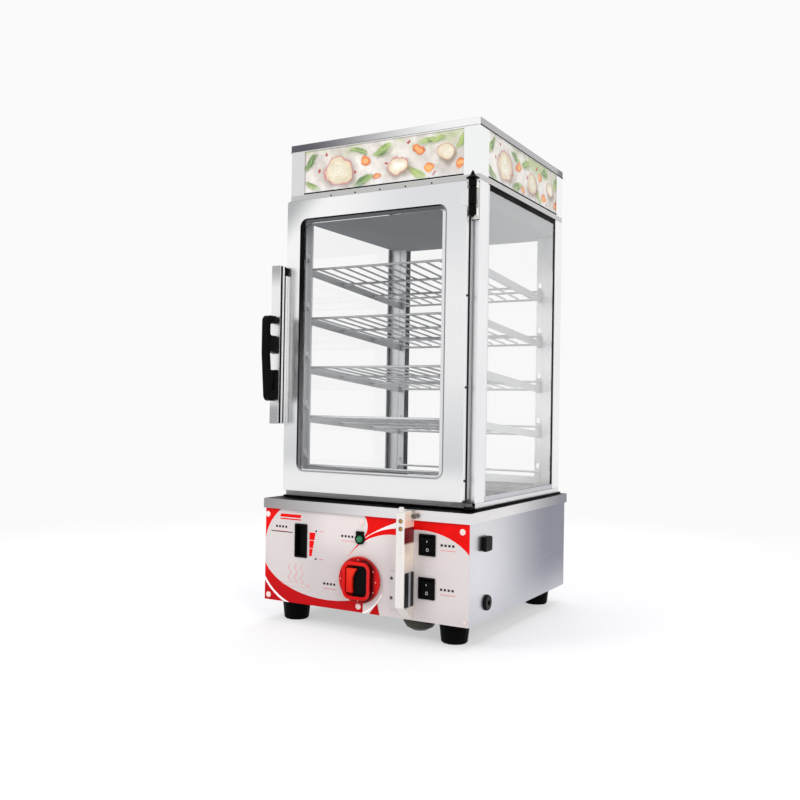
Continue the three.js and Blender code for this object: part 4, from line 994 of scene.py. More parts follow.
def rack_band(low, level, height, face_front, face_back):
    """Left side band: a strip along the wires' ends that is turned up at its front and back."""
    band = block(
        "band", (low.x, face_front, height - BAND_BELOW),
        (low.x + BAND_THICK, face_back, height + BAND_ABOVE),
    )
    drop = level(face_back) - height
    with edited(band):
        pick(band, "VERT", lambda point: point.co.y > face_back - MM)
        bpy.ops.transform.translate(value=(0, 0, drop))
        for inset in (BAND_TURN / 4, BAND_TURN):
            cut((0, face_front + inset, 0), (0, 1, 0))
        for inset in (BAND_TURN, BAND_TURN / 4):
            cut((0, face_back - inset, 0), (0, 1, 0))
        turn_front = face_front + BAND_TURN / 2
        turn_back = face_back - BAND_TURN / 2
        pick(band, "VERT", lambda point: point.co.y < turn_front and point.co.z > height)
        bpy.ops.transform.translate(value=(0, 0, RACK_SLOT_RISE - BAND_ABOVE))
        pick(band, "VERT", lambda point: point.co.y > turn_back and point.co.z > height + drop)
        bpy.ops.transform.translate(value=(0, 0, BACK_RAIL_RISE - BAND_ABOVE))
    return rounded(band, 0.0003, 1)


def rack_hook(low, height, face, direction):
    """End plate on the left band, with the tab that goes through the slot in the post's flange."""
    tab_low = height + RACK_SLOT_RISE - SLOT_HALF + SLOT_PLAY
    outer = low.x
    inner = outer + HOOK_INSET
    plate_y = sorted((face, face - direction * BAND_THICK))
    plate = block(
        "plate", (outer, plate_y[0], height - BAND_BELOW),
        (inner + HOOK_WIDE, plate_y[1], tab_low + HOOK_HIGH),
    )

    def in_slot(face):
        middle = face.calc_center_median()
        return face.normal.y * direction > 0.9 and middle.z > tab_low and middle.x > inner

    with edited(plate):
        cut((0, 0, tab_low), (0, 0, 1))
        cut((inner, 0, 0), (1, 0, 0))
        pick(plate, "FACE", in_slot)
        draw_out((0, direction * RACK_HOOK_REACH, 0))
        pick(plate, "VERT", lambda point: point.co.z < height and point.co.x > outer + MM)
        bpy.ops.transform.translate(value=(-HOOK_INSET / 2, 0, 0))
    return rounded(plate, 0.0002, 1)


def mirrored(piece, name, middle):
    """A copy on the other side of a plane across the rack, turned right side out."""
    copy = twin(piece, name, Vector((0, 0, 0)))
    with edited(copy):
        bpy.ops.mesh.select_all(action="SELECT")
        bpy.ops.transform.mirror(constraint_axis=(True, False, False), center_override=(middle, 0, 0))
        bpy.ops.mesh.normals_make_consistent(inside=False)
    return copy


def wire_rack(node, body, metal):
    """One rack in place of the CAD one, which it follows in its outline and its hooks."""
    low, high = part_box(node)
    height = high.z - RACK_SLOT_RISE
    face_front = low.y + RACK_HOOK_REACH
    face_back = high.y - RACK_HOOK_REACH
    front = face_front + RACK_FRONT_SET
    back = face_back - RACK_BACK_SET

    def level(y):
        return height - RACK_FALL * (y - front) / (back - front)

    pieces = rack_wires(low, high, level, front, back)
    sides = [
        rack_band(low, level, height, face_front, face_back),
        rack_hook(low, height, face_front, -1),
        rack_hook(low, height - RACK_FALL, face_back, 1),
    ]
    middle = (low.x + high.x) / 2
    pieces += sides + [mirrored(piece, piece.name, middle) for piece in sides]
    rack = joined(node + "_wires", pieces)
    seat(rack, metal, "bright_steel", body, node)


# Screws

def pan_screw(name, place, radius, metal):
    """A pan head with a pressed recess, on a face that looks to the front."""
    high = SCREW_HEIGHT
    screw = turned(name, place, (0, -1, 0), [
        (-high / 2, radius * 0.9), (0, radius * 0.97), (high * 0.3, radius), (high * 0.75, radius * 0.86),
        (high, radius * 0.55), (high * 1.02, radius * 0.34), (high * 0.45, radius * 0.24),
    ], 24)
    seat(screw, metal, "bright_steel", "cabinet")


def panel_screws(metal):
    """The front panel's screws, of which the lower right one is smaller."""
    spots = [(spot, PANEL_SCREW_RADIUS) for spot in PANEL_SCREWS] + [(PANEL_SMALL_SCREW, SMALL_SCREW_RADIUS)]
    for index, ((across, up), radius) in enumerate(spots, 1):
        place = (PANEL_MIDDLE.x + across * MM, PANEL_LOW.y, up * MM)
        pan_screw(f"panel_screw_{index}", place, radius, metal)


def column_screws(flange_metal, brass):
    """Two screws in the fill column's flange and two in its front."""
    low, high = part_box("fill_column")
    flange_x = low.x + FLANGE_SCREW_IN
    for index, up in enumerate(FLANGE_SCREWS_UP, 1):
        place = (flange_x, PANEL_LOW.y - FLANGE_THICK, up)
        pan_screw(f"flange_screw_{index}", place, SMALL_SCREW_RADIUS, flange_metal)
    front_x = high.x - COLUMN_SCREW_IN
    for index, drop in enumerate(COLUMN_SCREWS_DOWN, 1):
        place = (front_x, low.y + SCREW_HEIGHT + COLUMN_SCREW_SUNK, high.z - drop)
        pan_screw(f"column_screw_{index}", place, COLUMN_SCREW_RADIUS, brass)


def column_catch(metal):
    """Small turned catch on the rim beside the fill column's top."""
    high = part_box("fill_column")[1]
    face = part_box("rim")[0].y
    radius = CATCH_RADIUS
    catch = turned("column_catch", (high.x + CATCH_ASIDE, face, high.z - CATCH_DOWN), (0, -1, 0), [
        (-0.0006, radius * 0.8), (0.0004, radius * 0.84), (0.001, radius * 0.5), (0.0034, radius * 0.5),
        (0.0038, radius * 0.94), (0.0046, radius), (0.0072, radius), (0.008, radius * 0.9),
        (0.0084, radius * 0.6), (0.0078, radius * 0.42),
    ], 24)
    seat(catch, metal, "bright_steel", "cabinet")


# Knob

def knob_skirt(plastic):
    """Red skirt on its shaft, rounded at its edge, with a raised collar."""
    back = KNOB_HIGH.y
    face = back - KNOB_FACE
    skirt = turned("knob_skirt", (KNOB_X, back, KNOB_Z), (0, -1, 0), [
        (0, SHAFT_RADIUS - 0.0006), (0.0006, SHAFT_RADIUS), (face, SHAFT_RADIUS),
        (face + 0.0001, SKIRT_RADIUS - 0.001),
        (face + 0.001, SKIRT_RADIUS), (face + SKIRT_PROUD - 0.0026, SKIRT_RADIUS - 0.0002),
        (face + SKIRT_PROUD - 0.0009, SKIRT_RADIUS - 0.0012), (face + SKIRT_PROUD, SKIRT_RADIUS - 0.0034),
        (face + SKIRT_PROUD + 0.0004, SKIRT_RADIUS - 0.007),
    ], 64)
    collar = block(
        "knob_collar", (KNOB_X - COLLAR_WIDE, KNOB_FACE - COLLAR_PROUD, KNOB_Z - COLLAR_HIGH),
        (KNOB_X + COLLAR_WIDE, KNOB_FACE - SKIRT_PROUD + 0.001, KNOB_Z + COLLAR_HIGH),
    )
    with edited(collar):
        corners_rounded(collar, COLLAR_CORNER, 8)
        pick(collar, "FACE", looks_ahead)
        bpy.ops.mesh.inset(thickness=COLLAR_WALL, depth=0)
        draw_out((0, RECESS_DEEP, 0))
    rounded(collar, 0.0012, 3)
    knob = joined("knob_skirt", [skirt, collar])
    seat(knob, plastic, "red_plastic", "knob", "temperature_knob")


def knob_floor(plastic):
    """Black lining of the collar's recess: a dish with a low wall round it."""
    top = KNOB_FACE - COLLAR_PROUD + RECESS_DEEP
    wide = COLLAR_WIDE - COLLAR_WALL - LINING_PLAY
    high = COLLAR_HIGH - COLLAR_WALL - LINING_PLAY
    floor = block(
        "knob_floor", (KNOB_X - wide, top - LINING_HIGH, KNOB_Z - high),
        (KNOB_X + wide, top + LINING_FLOOR, KNOB_Z + high),
    )
    with edited(floor):
        corners_rounded(floor, COLLAR_CORNER - COLLAR_WALL, 8)
        pick(floor, "FACE", looks_ahead)
        bpy.ops.mesh.inset(thickness=LINING_WALL, depth=0)
        draw_out((0, LINING_HIGH - LINING_FLOOR, 0))
    rounded(floor, 0.0002, 1)
    seat(floor, plastic, "black_plastic", "knob")


def knob_bar(plastic):
    """Red grip bar at the recess's left, waisted, its upper end flared to the right."""
    face = KNOB_FACE - COLLAR_PROUD
    bar = block(
        "knob_bar", (KNOB_X + BAR_LEFT, face + 0.0006, KNOB_Z - BAR_HIGH),
        (KNOB_X + BAR_RIGHT, face + RECESS_DEEP + 0.0004, KNOB_Z + BAR_HIGH),
    )
    with edited(bar):
        for rise in BAR_CUTS:
            cut((0, 0, KNOB_Z + rise * BAR_HIGH), (0, 0, 1))
        for rise, right in BAR_FLARE:
            pick(bar, "VERT", lambda point: (
                point.co.x > KNOB_X + BAR_RIGHT - MM / 2
                and abs(point.co.z - KNOB_Z - rise * BAR_HIGH) < MM / 2
            ))
            bpy.ops.transform.translate(value=(right, 0, 0))
    rounded(bar, 0.0014, 3, 30)
    seat(bar, plastic, "red_plastic", "knob")


def knob_dots(ink):
    """Small raised dots round the skirt, in the places of a dial's marks."""
    face = KNOB_FACE - SKIRT_PROUD + 0.0002
    dot = turned("knob_dot", (KNOB_X, face, KNOB_Z + DOT_CIRCLE), (0, -1, 0), [
        (-0.0003, DOT_RADIUS), (0.0003, DOT_RADIUS), (0.0006, DOT_RADIUS * 0.6),
    ], 12)
    dots = [dot]
    for index in range(1, DOT_COUNT):
        angle = 2 * math.pi * index / DOT_COUNT
        shift = Vector((math.sin(angle), 0, math.cos(angle) - 1)) * DOT_CIRCLE
        dots.append(twin(dot, "knob_dot", shift))
    seat(joined("knob_dots", dots), ink, "printed", "knob")


# Rocker switches

def rocker_marks(paddle, body, ink):
    """A raised stroke over a raised ring on the paddle's two slopes."""
    low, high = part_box(paddle)
    middle = (low + high) / 2
    node = frame["nodes"][paddle]
    pieces = []
    for name, rise in (("stroke", MARK_RISE), ("ring", -MARK_RISE)):
        start = Vector((middle.x, low.y - 0.01, middle.z + rise))
        spot, normal = node.ray_cast(start, Vector((0, 1, 0)))[1:3]
        lean = Matrix.Rotation(math.atan2(normal.z, -normal.y), 4, "X")
        if name == "stroke":
            mark = block(name, (-0.0004, -0.0002, -MARK_HIGH), (0.0004, 0.0001, MARK_HIGH))
            rounded(mark, 0.0001, 1)
        else:
            bpy.ops.object.select_all(action="DESELECT")
            bpy.ops.mesh.primitive_torus_add(
                major_radius=MARK_HIGH, minor_radius=0.00034, major_segments=32, minor_segments=8,
                rotation=(math.pi / 2, 0, 0),
            )
            mark = fresh(name)
            with edited(mark):
                bpy.ops.mesh.select_all(action="SELECT")
                bpy.ops.transform.resize(value=(0.82, 0.7, 1.0))
            bpy.ops.object.shade_smooth()
        alone(mark)
        mark.matrix_world = Matrix.Translation(spot) @ lean
        bpy.ops.object.transform_apply(location=True, rotation=True, scale=True)
        pieces.append(mark)
    seat(joined(paddle + "_marks", pieces), ink, "printed", body)


# Top hinge

def hinge_pin_place():
    """Where the top hinge's pin stands."""
    low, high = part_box("hinge_top_fixed")
    return high.x - KNUCKLE_RADIUS, low.y + KNUCKLE_RADIUS


def top_hinge(black):
    """Black barrel with a hat and a pointed finial."""
    low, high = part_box("hinge_top_fixed")
    sleeve_low, sleeve_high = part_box("hinge_top_moving")
    wide = KNUCKLE_RADIUS
    foot = turned("hinge_foot", (*hinge_pin_place(), 0), (0, 0, 1), [
        (low.z, 0.0016), (low.z + 0.0012, 0.0028), (low.z + 0.0024, 0.0034),
        (sleeve_low.z - 0.0145, 0.0036), (sleeve_low.z - 0.014, wide - 0.0007),
        (sleeve_low.z - 0.0132, wide), (sleeve_low.z - 0.0014, wide), (sleeve_low.z - 0.0006, wide - 0.0008),
        (sleeve_low.z - 0.0005, PIN_RADIUS), (sleeve_high.z + 0.0005, PIN_RADIUS),
        (sleeve_high.z + 0.0006, wide - 0.0007), (sleeve_high.z + 0.0014, wide),
        (sleeve_high.z + 0.0096, wide), (sleeve_high.z + 0.0104, wide - 0.0008),
        (sleeve_high.z + 0.0106, 0.0046), (HAT_LOW, 0.0052), (HAT_LOW + 0.0002, HAT_RADIUS - 0.001),
        (HAT_LOW + 0.001, HAT_RADIUS), (HAT_LOW + 0.0018, HAT_RADIUS - 0.0006),
        (HAT_LOW + 0.0034, 0.0062), (HAT_LOW + 0.0046, 0.0046), (HAT_LOW + 0.0066, 0.0034),
        (high.z - 0.002, 0.0018), (high.z, 0.0005),
    ], 32)
    seat(foot, black, "black_plastic", "cabinet", "hinge_top_fixed")


def hinge_leaf(metal, edge):
    """Pale leaf on the case with the two arms that carry the pin, on a thin dark backing whose rim stands
    for painted shade round the leaf.
    """
    low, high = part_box("hinge_top_fixed")
    sleeve_low, sleeve_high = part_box("hinge_top_moving")
    x, y = hinge_pin_place()
    outer = x + PIN_RADIUS
    face = high.y - LEAF_BACK
    lower_arm = (sleeve_low.z - 0.0128, sleeve_low.z - 0.0014)
    upper_arm = (sleeve_high.z + 0.0014, sleeve_high.z + 0.0096)
    pieces = []
    for start, end in (lower_arm, upper_arm):
        arm = block("hinge_arm", (x - 0.003, y, start), (outer, face + 0.0004, end))
        pieces.append(rounded(arm, 0.0006))
    leaf = block("hinge_leaf", (low.x, face, low.z), (outer, high.y - 0.0004, LEAF_TOP))
    with edited(leaf):
        corners_rounded(leaf, LEAF_CORNER, 3)
    pieces.insert(0, rounded(leaf, 0.0005))
    seat(joined("hinge_leaf", pieces), metal, "bright_steel", "cabinet")
    # Painted shade: a black backing a little larger than the leaf shows as a dark outline round it
    backing = block(
        "leaf_backing", (low.x - LEAF_BACKING, high.y - LEAF_BACKING, low.z - LEAF_BACKING),
        (outer + 0.0003, high.y - 0.0001, LEAF_TOP + LEAF_BACKING),
    )
    seat(rounded(backing, 0.0002, 1), edge, "rubber", "cabinet")
    for index, up in enumerate(LEAF_SCREWS_UP, 1):
        pan_screw(f"leaf_screw_{index}", (low.x + 0.0035, face, up), LEAF_SCREW_RADIUS, edge)


def hinge_sleeve(black, metal):
    """The door's half of the top hinge: a black sleeve, and its steel arm before the door's face."""
    low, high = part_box("hinge_top_moving")
    x, y = hinge_pin_place()
    wide = KNUCKLE_RADIUS
    sleeve = turned("hinge_sleeve", (x, y, 0), (0, 0, 1), [
        (low.z, 0.0028), (low.z + 0.0001, wide - 0.0008), (low.z + 0.0009, wide),
        (high.z - 0.0009, wide), (high.z - 0.0001, wide - 0.0008), (high.z, 0.0028),
        (high.z - 0.0006, 0.0025), (low.z + 0.0006, 0.0025),
    ], 32)
    seat(sleeve, black, "black_plastic", "door", "hinge_top_moving")
    door_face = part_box("door_frame")[0].y
    arm = block("hinge_door_arm", (low.x, door_face - 0.0012, low.z + 0.0012),
                (x - 0.004, door_face - 0.0002, high.z - 0.0012))
    with edited(arm):
        corners_rounded(arm, LEAF_CORNER, 3)
    seat(rounded(arm, 0.0004), metal, "bright_steel", "door")


# Handle channel

def channel_strips(rubber):
    """Two rubber strips down the channel's right side, the back one also a painted shadow in the seam of the
    channel's fold, and a stop at its top.
    """
    low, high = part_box("handle_channel")
    pieces = []
    # The back strip is rubber and also painted shadow in the seam of the fold
    for front, back in CHANNEL_STRIPS:
        strip = block("strip", (high.x - STRIP_SUNK, low.y + front, low.z + 0.0008),
                      (high.x + 0.0007, low.y + back, high.z - 0.0008))
        pieces.append(rounded(strip, 0.0003))
    stop = block("stop", (high.x - STRIP_SUNK, high.y - 0.0055, high.z - 0.015),
                 (high.x + 0.0012, high.y, high.z - 0.002))
    pieces.append(rounded(stop, 0.0004))
    seat(joined("channel_strips", pieces), rubber, "rubber", "door")


# Header and roof

def header_beads(rubber):
    """Rubber beads along the lower edges of the picture windows, and black beads under the roof cap that are
    painted shadow in the gap beneath it.
    """
    low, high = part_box("header_casing")
    faces = {
        "picture_front": (low.y - BEAD_PROUD, low.y + BEAD_SUNK),
        "picture_left": (low.x - BEAD_PROUD, low.x + BEAD_SUNK),
        "picture_right": (high.x - BEAD_SUNK, high.x + BEAD_PROUD),
    }
    pieces = []
    for name, axis in PICTURES:
        first, last = [Vector(corner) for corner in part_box(name)]
        first.z += PICTURE_LAP
        last.z = first.z + BEAD_HIGH
        first[axis] += BEAD_END
        last[axis] -= BEAD_END
        first[1 - axis], last[1 - axis] = faces[name]
        pieces.append(block("bead", first, last))
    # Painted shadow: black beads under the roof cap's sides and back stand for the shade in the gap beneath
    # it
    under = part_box("roof_cap")[0].z
    for outer, inner in (faces["picture_left"], faces["picture_right"]):
        pieces.append(block("bead", (outer, low.y, under - ROOF_BEAD_HIGH), (inner, high.y, under)))
    back = high.y + BEAD_PROUD / 2
    pieces.append(block("bead", (low.x, high.y - BEAD_SUNK, under - ROOF_BEAD_HIGH), (high.x, back, under)))
    for piece in pieces:
        rounded(piece, 0.0002, 1)
    seat(joined("header_beads", pieces), rubber, "rubber", "cabinet")


def header_plugs(plastic):
    """Plugs in the five small holes under the front picture window."""
    low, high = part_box("header_casing")
    profile = [
        (-0.0009, PLUG_RADIUS * 0.9), (-0.0002, PLUG_RADIUS), (0.0001, PLUG_RADIUS),
        (0.0003, PLUG_RADIUS * 0.6),
    ]
    plugs = []
    for step in PLUG_STEPS:
        place = ((low.x + high.x) / 2 + step * PLUG_PITCH, low.y, low.z + PLUG_RISE)
        plugs.append(turned("plug", place, (0, -1, 0), profile, 16))
    seat(joined("header_plugs", plugs), plastic, "black_plastic", "cabinet")


def door_rivets(plastic):
    """Rivets in the fold at the door's hinge side."""
    low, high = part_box("door_frame")
    rivets = []
    for up in RIVETS_UP:
        rivets.append(turned("rivet", (high.x, (low.y + high.y) / 2, up), (1, 0, 0), [
            (-0.0006, 0.0016), (0, 0.002), (0.0006, 0.0018), (0.0011, 0.001),
        ], 16))
    seat(joined("door_rivets", rivets), plastic, "black_plastic", "door")


# Studio

def photograph_camera():
    """The camera at the photograph's place, turned by its yaw, pitch and roll."""
    ahead = Vector((
        -math.sin(CAMERA_YAW) * math.cos(CAMERA_PITCH),
        math.cos(CAMERA_YAW) * math.cos(CAMERA_PITCH),
        math.sin(CAMERA_PITCH),
    ))
    level = Vector((math.cos(CAMERA_YAW), math.sin(CAMERA_YAW), 0))
    upright = level.cross(ahead)
    across = math.cos(CAMERA_ROLL) * level + math.sin(CAMERA_ROLL) * upright
    up = math.cos(CAMERA_ROLL) * upright - math.sin(CAMERA_ROLL) * level
    lens = bpy.data.cameras.new("photograph_lens")
    lens.sensor_width = CAMERA_SENSOR
    lens.lens = CAMERA_LENS
    lens.shift_x, lens.shift_y = CAMERA_SHIFT
    camera = bpy.data.objects.new("photograph_camera", lens)
    turn = Matrix((across, up, -ahead)).transposed().to_4x4()
    camera.matrix_world = Matrix.Translation(CAMERA_PLACE) @ turn
    bpy.context.collection.objects.link(camera)
    bpy.context.scene.camera = camera


def soft_lamp(name, place, size, power):
    """A soft lamp that looks at the cabinet's middle and isn't seen itself."""
    lamp = bpy.data.lights.new(name, "AREA")
    lamp.shape = "RECTANGLE"
    lamp.size, lamp.size_y = size
    lamp.energy = power
    holder = bpy.data.objects.new(name, lamp)
    holder.location = place
    holder.rotation_euler = (Vector(LAMP_AIM) - Vector(place)).to_track_quat("-Z", "Y").to_euler()
    holder.visible_glossy = False
    holder.visible_camera = False
    holder.visible_transmission = False
    bpy.context.collection.objects.link(holder)


def studio_lamps():
    """Four soft lamps round and over the cabinet."""
    soft_lamp("lamp_front_left", (-1.9, -2.3, 1.9), (1.6, 1.6), 46)
    soft_lamp("lamp_front_right", (2.2, -1.7, 1.5), (1.4, 1.8), 34)
    soft_lamp("lamp_over", (0.0, 0.2, 2.8), (1.8, 1.8), 40)
    soft_lamp("lamp_behind", (-0.6, 2.6, 1.6), (1.6, 1.4), 30)


def studio_world():
    """A pale room: near white to the eye, in metal and through glass, and plain soft light for the rest."""
    world = bpy.data.worlds.new("pale_studio")
    bpy.context.scene.world = world
    world.use_nodes = True
    room = Graph(world.node_tree)
    ground = room.nodes["Background"]
    ground.inputs["Color"].default_value = tone(228, 229, 232)
    ground.inputs["Strength"].default_value = ROOM_LIGHT
    split = room.add("ShaderNodeSeparateXYZ")
    room.feed(split.inputs[0], room.add("ShaderNodeTexCoord").outputs["Generated"])
    rise = Field(room, split.outputs["Z"]).span(*ROOM_TURN, shape="LINEAR")
    seen = room.add("ShaderNodeBackground")
    room.feed(seen.inputs["Color"], room.mix(rise, tone(250, 250, 250), tone(240, 241, 243)))
    shown = room.rays("Is Camera Ray", "Is Glossy Ray", "Is Transmission Ray")
    room.finish_with(shown, ground, seen, room.nodes["World Output"])


def studio_floor():
    """A pale floor that keeps the shadow near the cabinet and runs out into the backdrop."""
    bpy.ops.object.select_all(action="DESELECT")
    bpy.ops.mesh.primitive_plane_add(size=FLOOR_SIZE, location=(0, 0, 0))
    floor = bpy.context.active_object
    floor.name = "studio_floor"
    paint = Finish("floor_paint", Roughness=0.9, Specular_IOR_Level=0.0)
    x, y, z = paint.axes()
    away = (x * x + y * y).root().span(SHADOW_NEAR, SHADOW_FAR, SHADOW_SOFT, 1.0)
    paint.colour(paint.mix(paint.noise(3.0, 2.0), tone(242, 242, 243), tone(239, 239, 241)))
    glow = paint.add("ShaderNodeEmission")
    glow.inputs["Color"].default_value = tone(250, 250, 250)
    paint.finish_with(away, paint.shader, glow, paint.output)
    floor.data.materials.append(paint.material)


# Finishes by node. A sheet's fades are measured from the sides of its first node, as fades_of says

PALE = (247, 247, 248)
SOFT = (236, 236, 238)

# Depths in from a side within which that whole face takes its own painted light or painted shade: a thin one
# and a deeper one
PAINTED_FACE_THIN = (0.0008, 0.0002)
PAINTED_FACE_DEEP = (0.0012, 0.0004)

# Every fade below is painted light or painted shade, such as the base's sides darkening to the back, the
# dark roof with its paler painted run, and the dark front of the sill under the door
STEEL_SHEETS = {
    "steel_post": (PALE, SOFT, UPRIGHT_GRAIN, ("post_front_right", "post_back_right"), [
        ("front", *PAINTED_FACE_DEEP, SOFT),
    ]),
    "steel_casing": ((220, 220, 224), (212, 212, 217), LEVEL_GRAIN, ("base_casing",), [
        ("front", 0.03, 0.34, (118, 120, 134)),
        ("bottom", 0.06, -0.04, (206, 206, 212)),
        ("back", *PAINTED_FACE_THIN, (222, 222, 226)),
    ]),
    "steel_rim": ((232, 229, 230), (222, 219, 220), LEVEL_GRAIN, ("rim",), [
        ("front", 0.1, 0.41, (120, 121, 131)),
        ("left", 0.24, -0.03, (152, 148, 148)),
    ]),
    "steel_door": ((244, 244, 244), (236, 236, 237), UPRIGHT_GRAIN, ("door_frame",), [
        ("top", 0.18, 0.02, (226, 227, 230)),
        ("right", 0.07, 0.236, (250, 250, 250)),
        ("bottom", 0.2, 0.05, (212, 214, 216)),
        ("bottom", 0.06, 0.02, (240, 240, 240)),
        ((-1, 0, 1), 0.745, 0.815, (180, 182, 183)),
        ("right", *PAINTED_FACE_THIN, (252, 252, 252)),
    ]),
    "steel_roof": ((104, 101, 110), (94, 91, 100), LEVEL_GRAIN, ("roof_cap",), [
        ("left", 0.0177, 0.305, (253, 253, 253)),
        ("right", *PAINTED_FACE_DEEP, (180, 179, 180)),
        ((1, 1, 0), 0.33, 0.36, (104, 103, 108)),
        ("top", *PAINTED_FACE_THIN, (226, 226, 229)),
    ]),
    "steel_header": ((226, 226, 226), (217, 217, 218), UPRIGHT_GRAIN, ("header_casing",), [
        ("left", 0.1095, 0.2995, (248, 249, 249)),
        ("bottom", 0.0092, 0.0068, (198, 197, 196)),
    ]),
    "steel_channel": ((244, 244, 244), (234, 234, 235), UPRIGHT_GRAIN, ("handle_channel",), [
        ("top", 0.04, 0.004, (176, 176, 177)),
        ("bottom", 0.045, 0.02, (168, 168, 170)),
        ("right", 0.001, 0.0003, (246, 246, 247)),
    ]),
    "steel_sill": (SOFT, (226, 226, 229), LEVEL_GRAIN, ("sill_ring",), [
        ("front", *PAINTED_FACE_DEEP, (142, 142, 144)),
    ]),
}


def steel_finishes():
    """The cabinet's sheets, with painted light and painted shade: each is pale or dark where its own face
    looks to light or to shade.
    """
    for name, (light, dark, grain, nodes, rows) in STEEL_SHEETS.items():
        fades = fades_of(nodes[0], rows)
        dress(brushed_steel(name, tone(*light), tone(*dark), grain, fades=fades), *nodes)
    # Painted shade: the left posts take a darker copy of the post steel, with painted light on their left
    # faces and fronts
    shaded = fades_of("post_front_left", [
        ("left", 0.0055, 0.0013, PALE),
        ("front", *PAINTED_FACE_DEEP, (226, 226, 228)),
    ])
    dress(brushed_steel(
        "steel_post_shade", tone(226, 227, 229), tone(206, 207, 209), UPRIGHT_GRAIN, 0.4, shaded,
        Metallic=0.4,
    ), "post_front_left", "post_back_left")
    dress(column_steel("steel_column", *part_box("fill_column")), "fill_column", "column_lid")
    # Painted shade: the lower hinge's shoe, under the door's corner, is made dark grey steel
    dress(brushed_steel(
        "steel_shoe", tone(112, 112, 114), tone(84, 84, 86), LEVEL_GRAIN, 0.4,
    ), "hinge_low_moving")
    # Painted light: the ceiling glows evenly with a grey of its own, which keeps its shading flat though it
    # is no lamp
    dress(moulded(
        "paint_ceiling", tone(92, 95, 97), tone(88, 91, 93), rough=0.8, relief=0.03,
        Specular_IOR_Level=0.02, Emission_Strength=1.0, Emission_Color=tone(82, 85, 87),
    ), "ceiling_tray")


# Fades here are painted light: black rubber painted grey on faces where light falls, a painted highlight
# stripe down the sight strip's side, and the left and back glass gaskets painted lit grey
MOULDED_PIECES = {
    "rubber_seal": ((10, 10, 11), (6, 6, 7), 0.02, ("door_seal",), [
        ("front", 0.0063, 0.0069, (188, 188, 190)),
    ]),
    "rubber_gasket": ((10, 10, 11), (6, 6, 7), 0.02, ("gasket_right",), [
        ("front", 0.0085, 0.007, (226, 226, 229)),
        ("bottom", 0.0085, 0.007, (206, 205, 210)),
    ]),
    "rubber_painted_light_grey": ((126, 127, 129), (104, 105, 107), 0.1, ("gasket_left", "gasket_back"), []),
    "plastic_olive": ((52, 52, 46), (38, 38, 34), 0.2, ("drain_outlet",), []),
    "plastic_coal": ((10, 10, 10), (6, 6, 6), 0.1, ("side_block", "cable_gland"), []),
    "strip_dark": ((34, 34, 36), (22, 22, 24), 0.2, ("sight_strip",), [
        ("front", 0.009, 0.0096, (150, 152, 156)),
        ("front", 0.0148, 0.0154, (30, 30, 32)),
    ]),
}


def moulded_finishes():
    """Gaskets, seals and plastics, with painted light: black where they are seen edge on, painted grey
    elsewhere, and a painted highlight stripe down the sight strip.
    """
    for name, (light, dark, gloss, nodes, rows) in MOULDED_PIECES.items():
        fades = fades_of(nodes[0], rows)
        dress(moulded(name, tone(*light), tone(*dark), fades=fades, Specular_IOR_Level=gloss), *nodes)
    dress(ring_rubber("rubber_door_gasket", *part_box("door_gasket")), "door_gasket")


def slot_finishes():
    """A finish for each material slot of the CAD part."""
    return {
        "steel": brushed_steel("steel_level", tone(232, 232, 234), tone(222, 222, 225), LEVEL_GRAIN),
        "bright_steel": polished_wire("wire_bright", tone(236, 237, 239), tone(186, 188, 192)),
        "grey_steel": brushed_steel(
            "steel_matt", tone(134, 138, 142), tone(118, 122, 126), DEEP_GRAIN, 0.45,
        ),
        "panel_face": panel_print(),
        "glass": clear_glass("glass_clear", tone(254, 254, 254), 1.25),
        "rubber": moulded("rubber_black", tone(9, 9, 10), tone(5, 5, 6), Specular_IOR_Level=0.03),
        "black_plastic": moulded(
            "plastic_black", tone(10, 10, 11), tone(4, 4, 5), rough=0.34, Specular_IOR_Level=0.05,
        ),
        "red_plastic": moulded(
            "plastic_red", tone(226, 12, 10), tone(204, 6, 8), rough=0.3, Specular_IOR_Level=0.1,
        ),
        "green_lens": moulded(
            "lens_green", tone(26, 134, 84), tone(12, 92, 56), rough=0.14, Specular_IOR_Level=0.6,
        ),
        "printed": moulded("print_white", tone(236, 234, 230), tone(222, 220, 216), rough=0.4),
        "lamp_white": moulded("lamp_white", tone(244, 243, 238), tone(236, 235, 230), rough=0.3),
    }


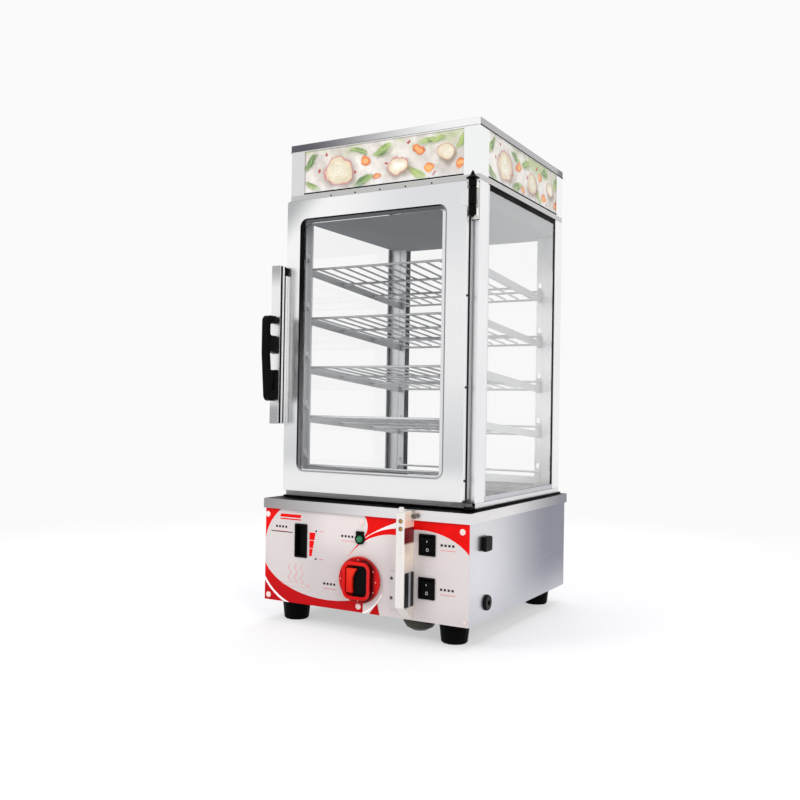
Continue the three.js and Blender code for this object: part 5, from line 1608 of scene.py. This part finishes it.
def dress_cabinet(shared):
    """Gives each CAD node its slot's finish, and then some nodes one of their own."""
    for item in frame["record"]["subparts"]:
        dress(shared[item["material_slot"]], item["node"])
    steel_finishes()
    moulded_finishes()
    dress(clear_glass("glass_side", tone(254, 254, 254), 2.2), "glass_right")
    dress(clear_glass("glass_door", tone(254, 254, 254), 1.12), "door_glass")
    for name, axis in PICTURES:
        dress(picture_print(name, axis), name)


def add_racks():
    """The five racks, paler low down with painted light."""
    wires = brushed_steel(
        "steel_rack", tone(188, 189, 191), tone(160, 161, 163), DEEP_GRAIN, 0.42,
        fades_of("rack_5", [("bottom", 0.25, 0.11, (218, 219, 220))]), Metallic=0.4,
    )
    for node, body in RACKS:
        wire_rack(node, body, wires)


def add_base_pieces(shared):
    """Screws, catch, knob and switch marks of the base."""
    dim = polished_wire("screw_dim", tone(120, 116, 114), tone(84, 80, 78))
    panel_screws(moulded("screw_pale", tone(246, 226, 222), tone(228, 206, 202), rough=0.3))
    column_screws(dim, polished_wire("screw_brass", tone(206, 172, 104), tone(170, 134, 72)))
    column_catch(dim)
    red = knob_red("plastic_knob")
    knob_skirt(red)
    # The recess lining is black with a painted dark red reflection on its left, round the red grip bar
    knob_floor(moulded(
        "plastic_recess", tone(10, 10, 11), tone(5, 5, 6), Specular_IOR_Level=0.05,
        fades=fades_of("temperature_knob", [("left", 0.029, 0.0225, (150, 8, 8))]),
    ))
    knob_bar(red)
    knob_dots(moulded("print_pink", tone(232, 140, 134), tone(216, 116, 112), rough=0.4))
    rocker_marks("rocker_paddle_upper", "upper_switch", shared["printed"])
    rocker_marks("rocker_paddle_lower", "lower_switch", shared["printed"])


def add_case_pieces(shared):
    """Top hinge, rubber strips, beads, plugs and rivets of the case and the door."""
    black = shared["black_plastic"]
    top_hinge(black)
    hinge_leaf(brushed_steel(
        "leaf_cream", tone(246, 244, 240), tone(232, 229, 222), UPRIGHT_GRAIN, Metallic=0.3,
    ), black)
    hinge_sleeve(black, shared["steel"])
    channel_strips(shared["rubber"])
    header_beads(shared["rubber"])
    header_plugs(black)
    door_rivets(black)


bpy.context.scene.view_settings.view_transform = "Standard"
photograph_camera()
studio_lamps()
studio_world()
studio_floor()
finishes = slot_finishes()
dress_cabinet(finishes)
add_racks()
add_base_pieces(finishes)
add_case_pieces(finishes)
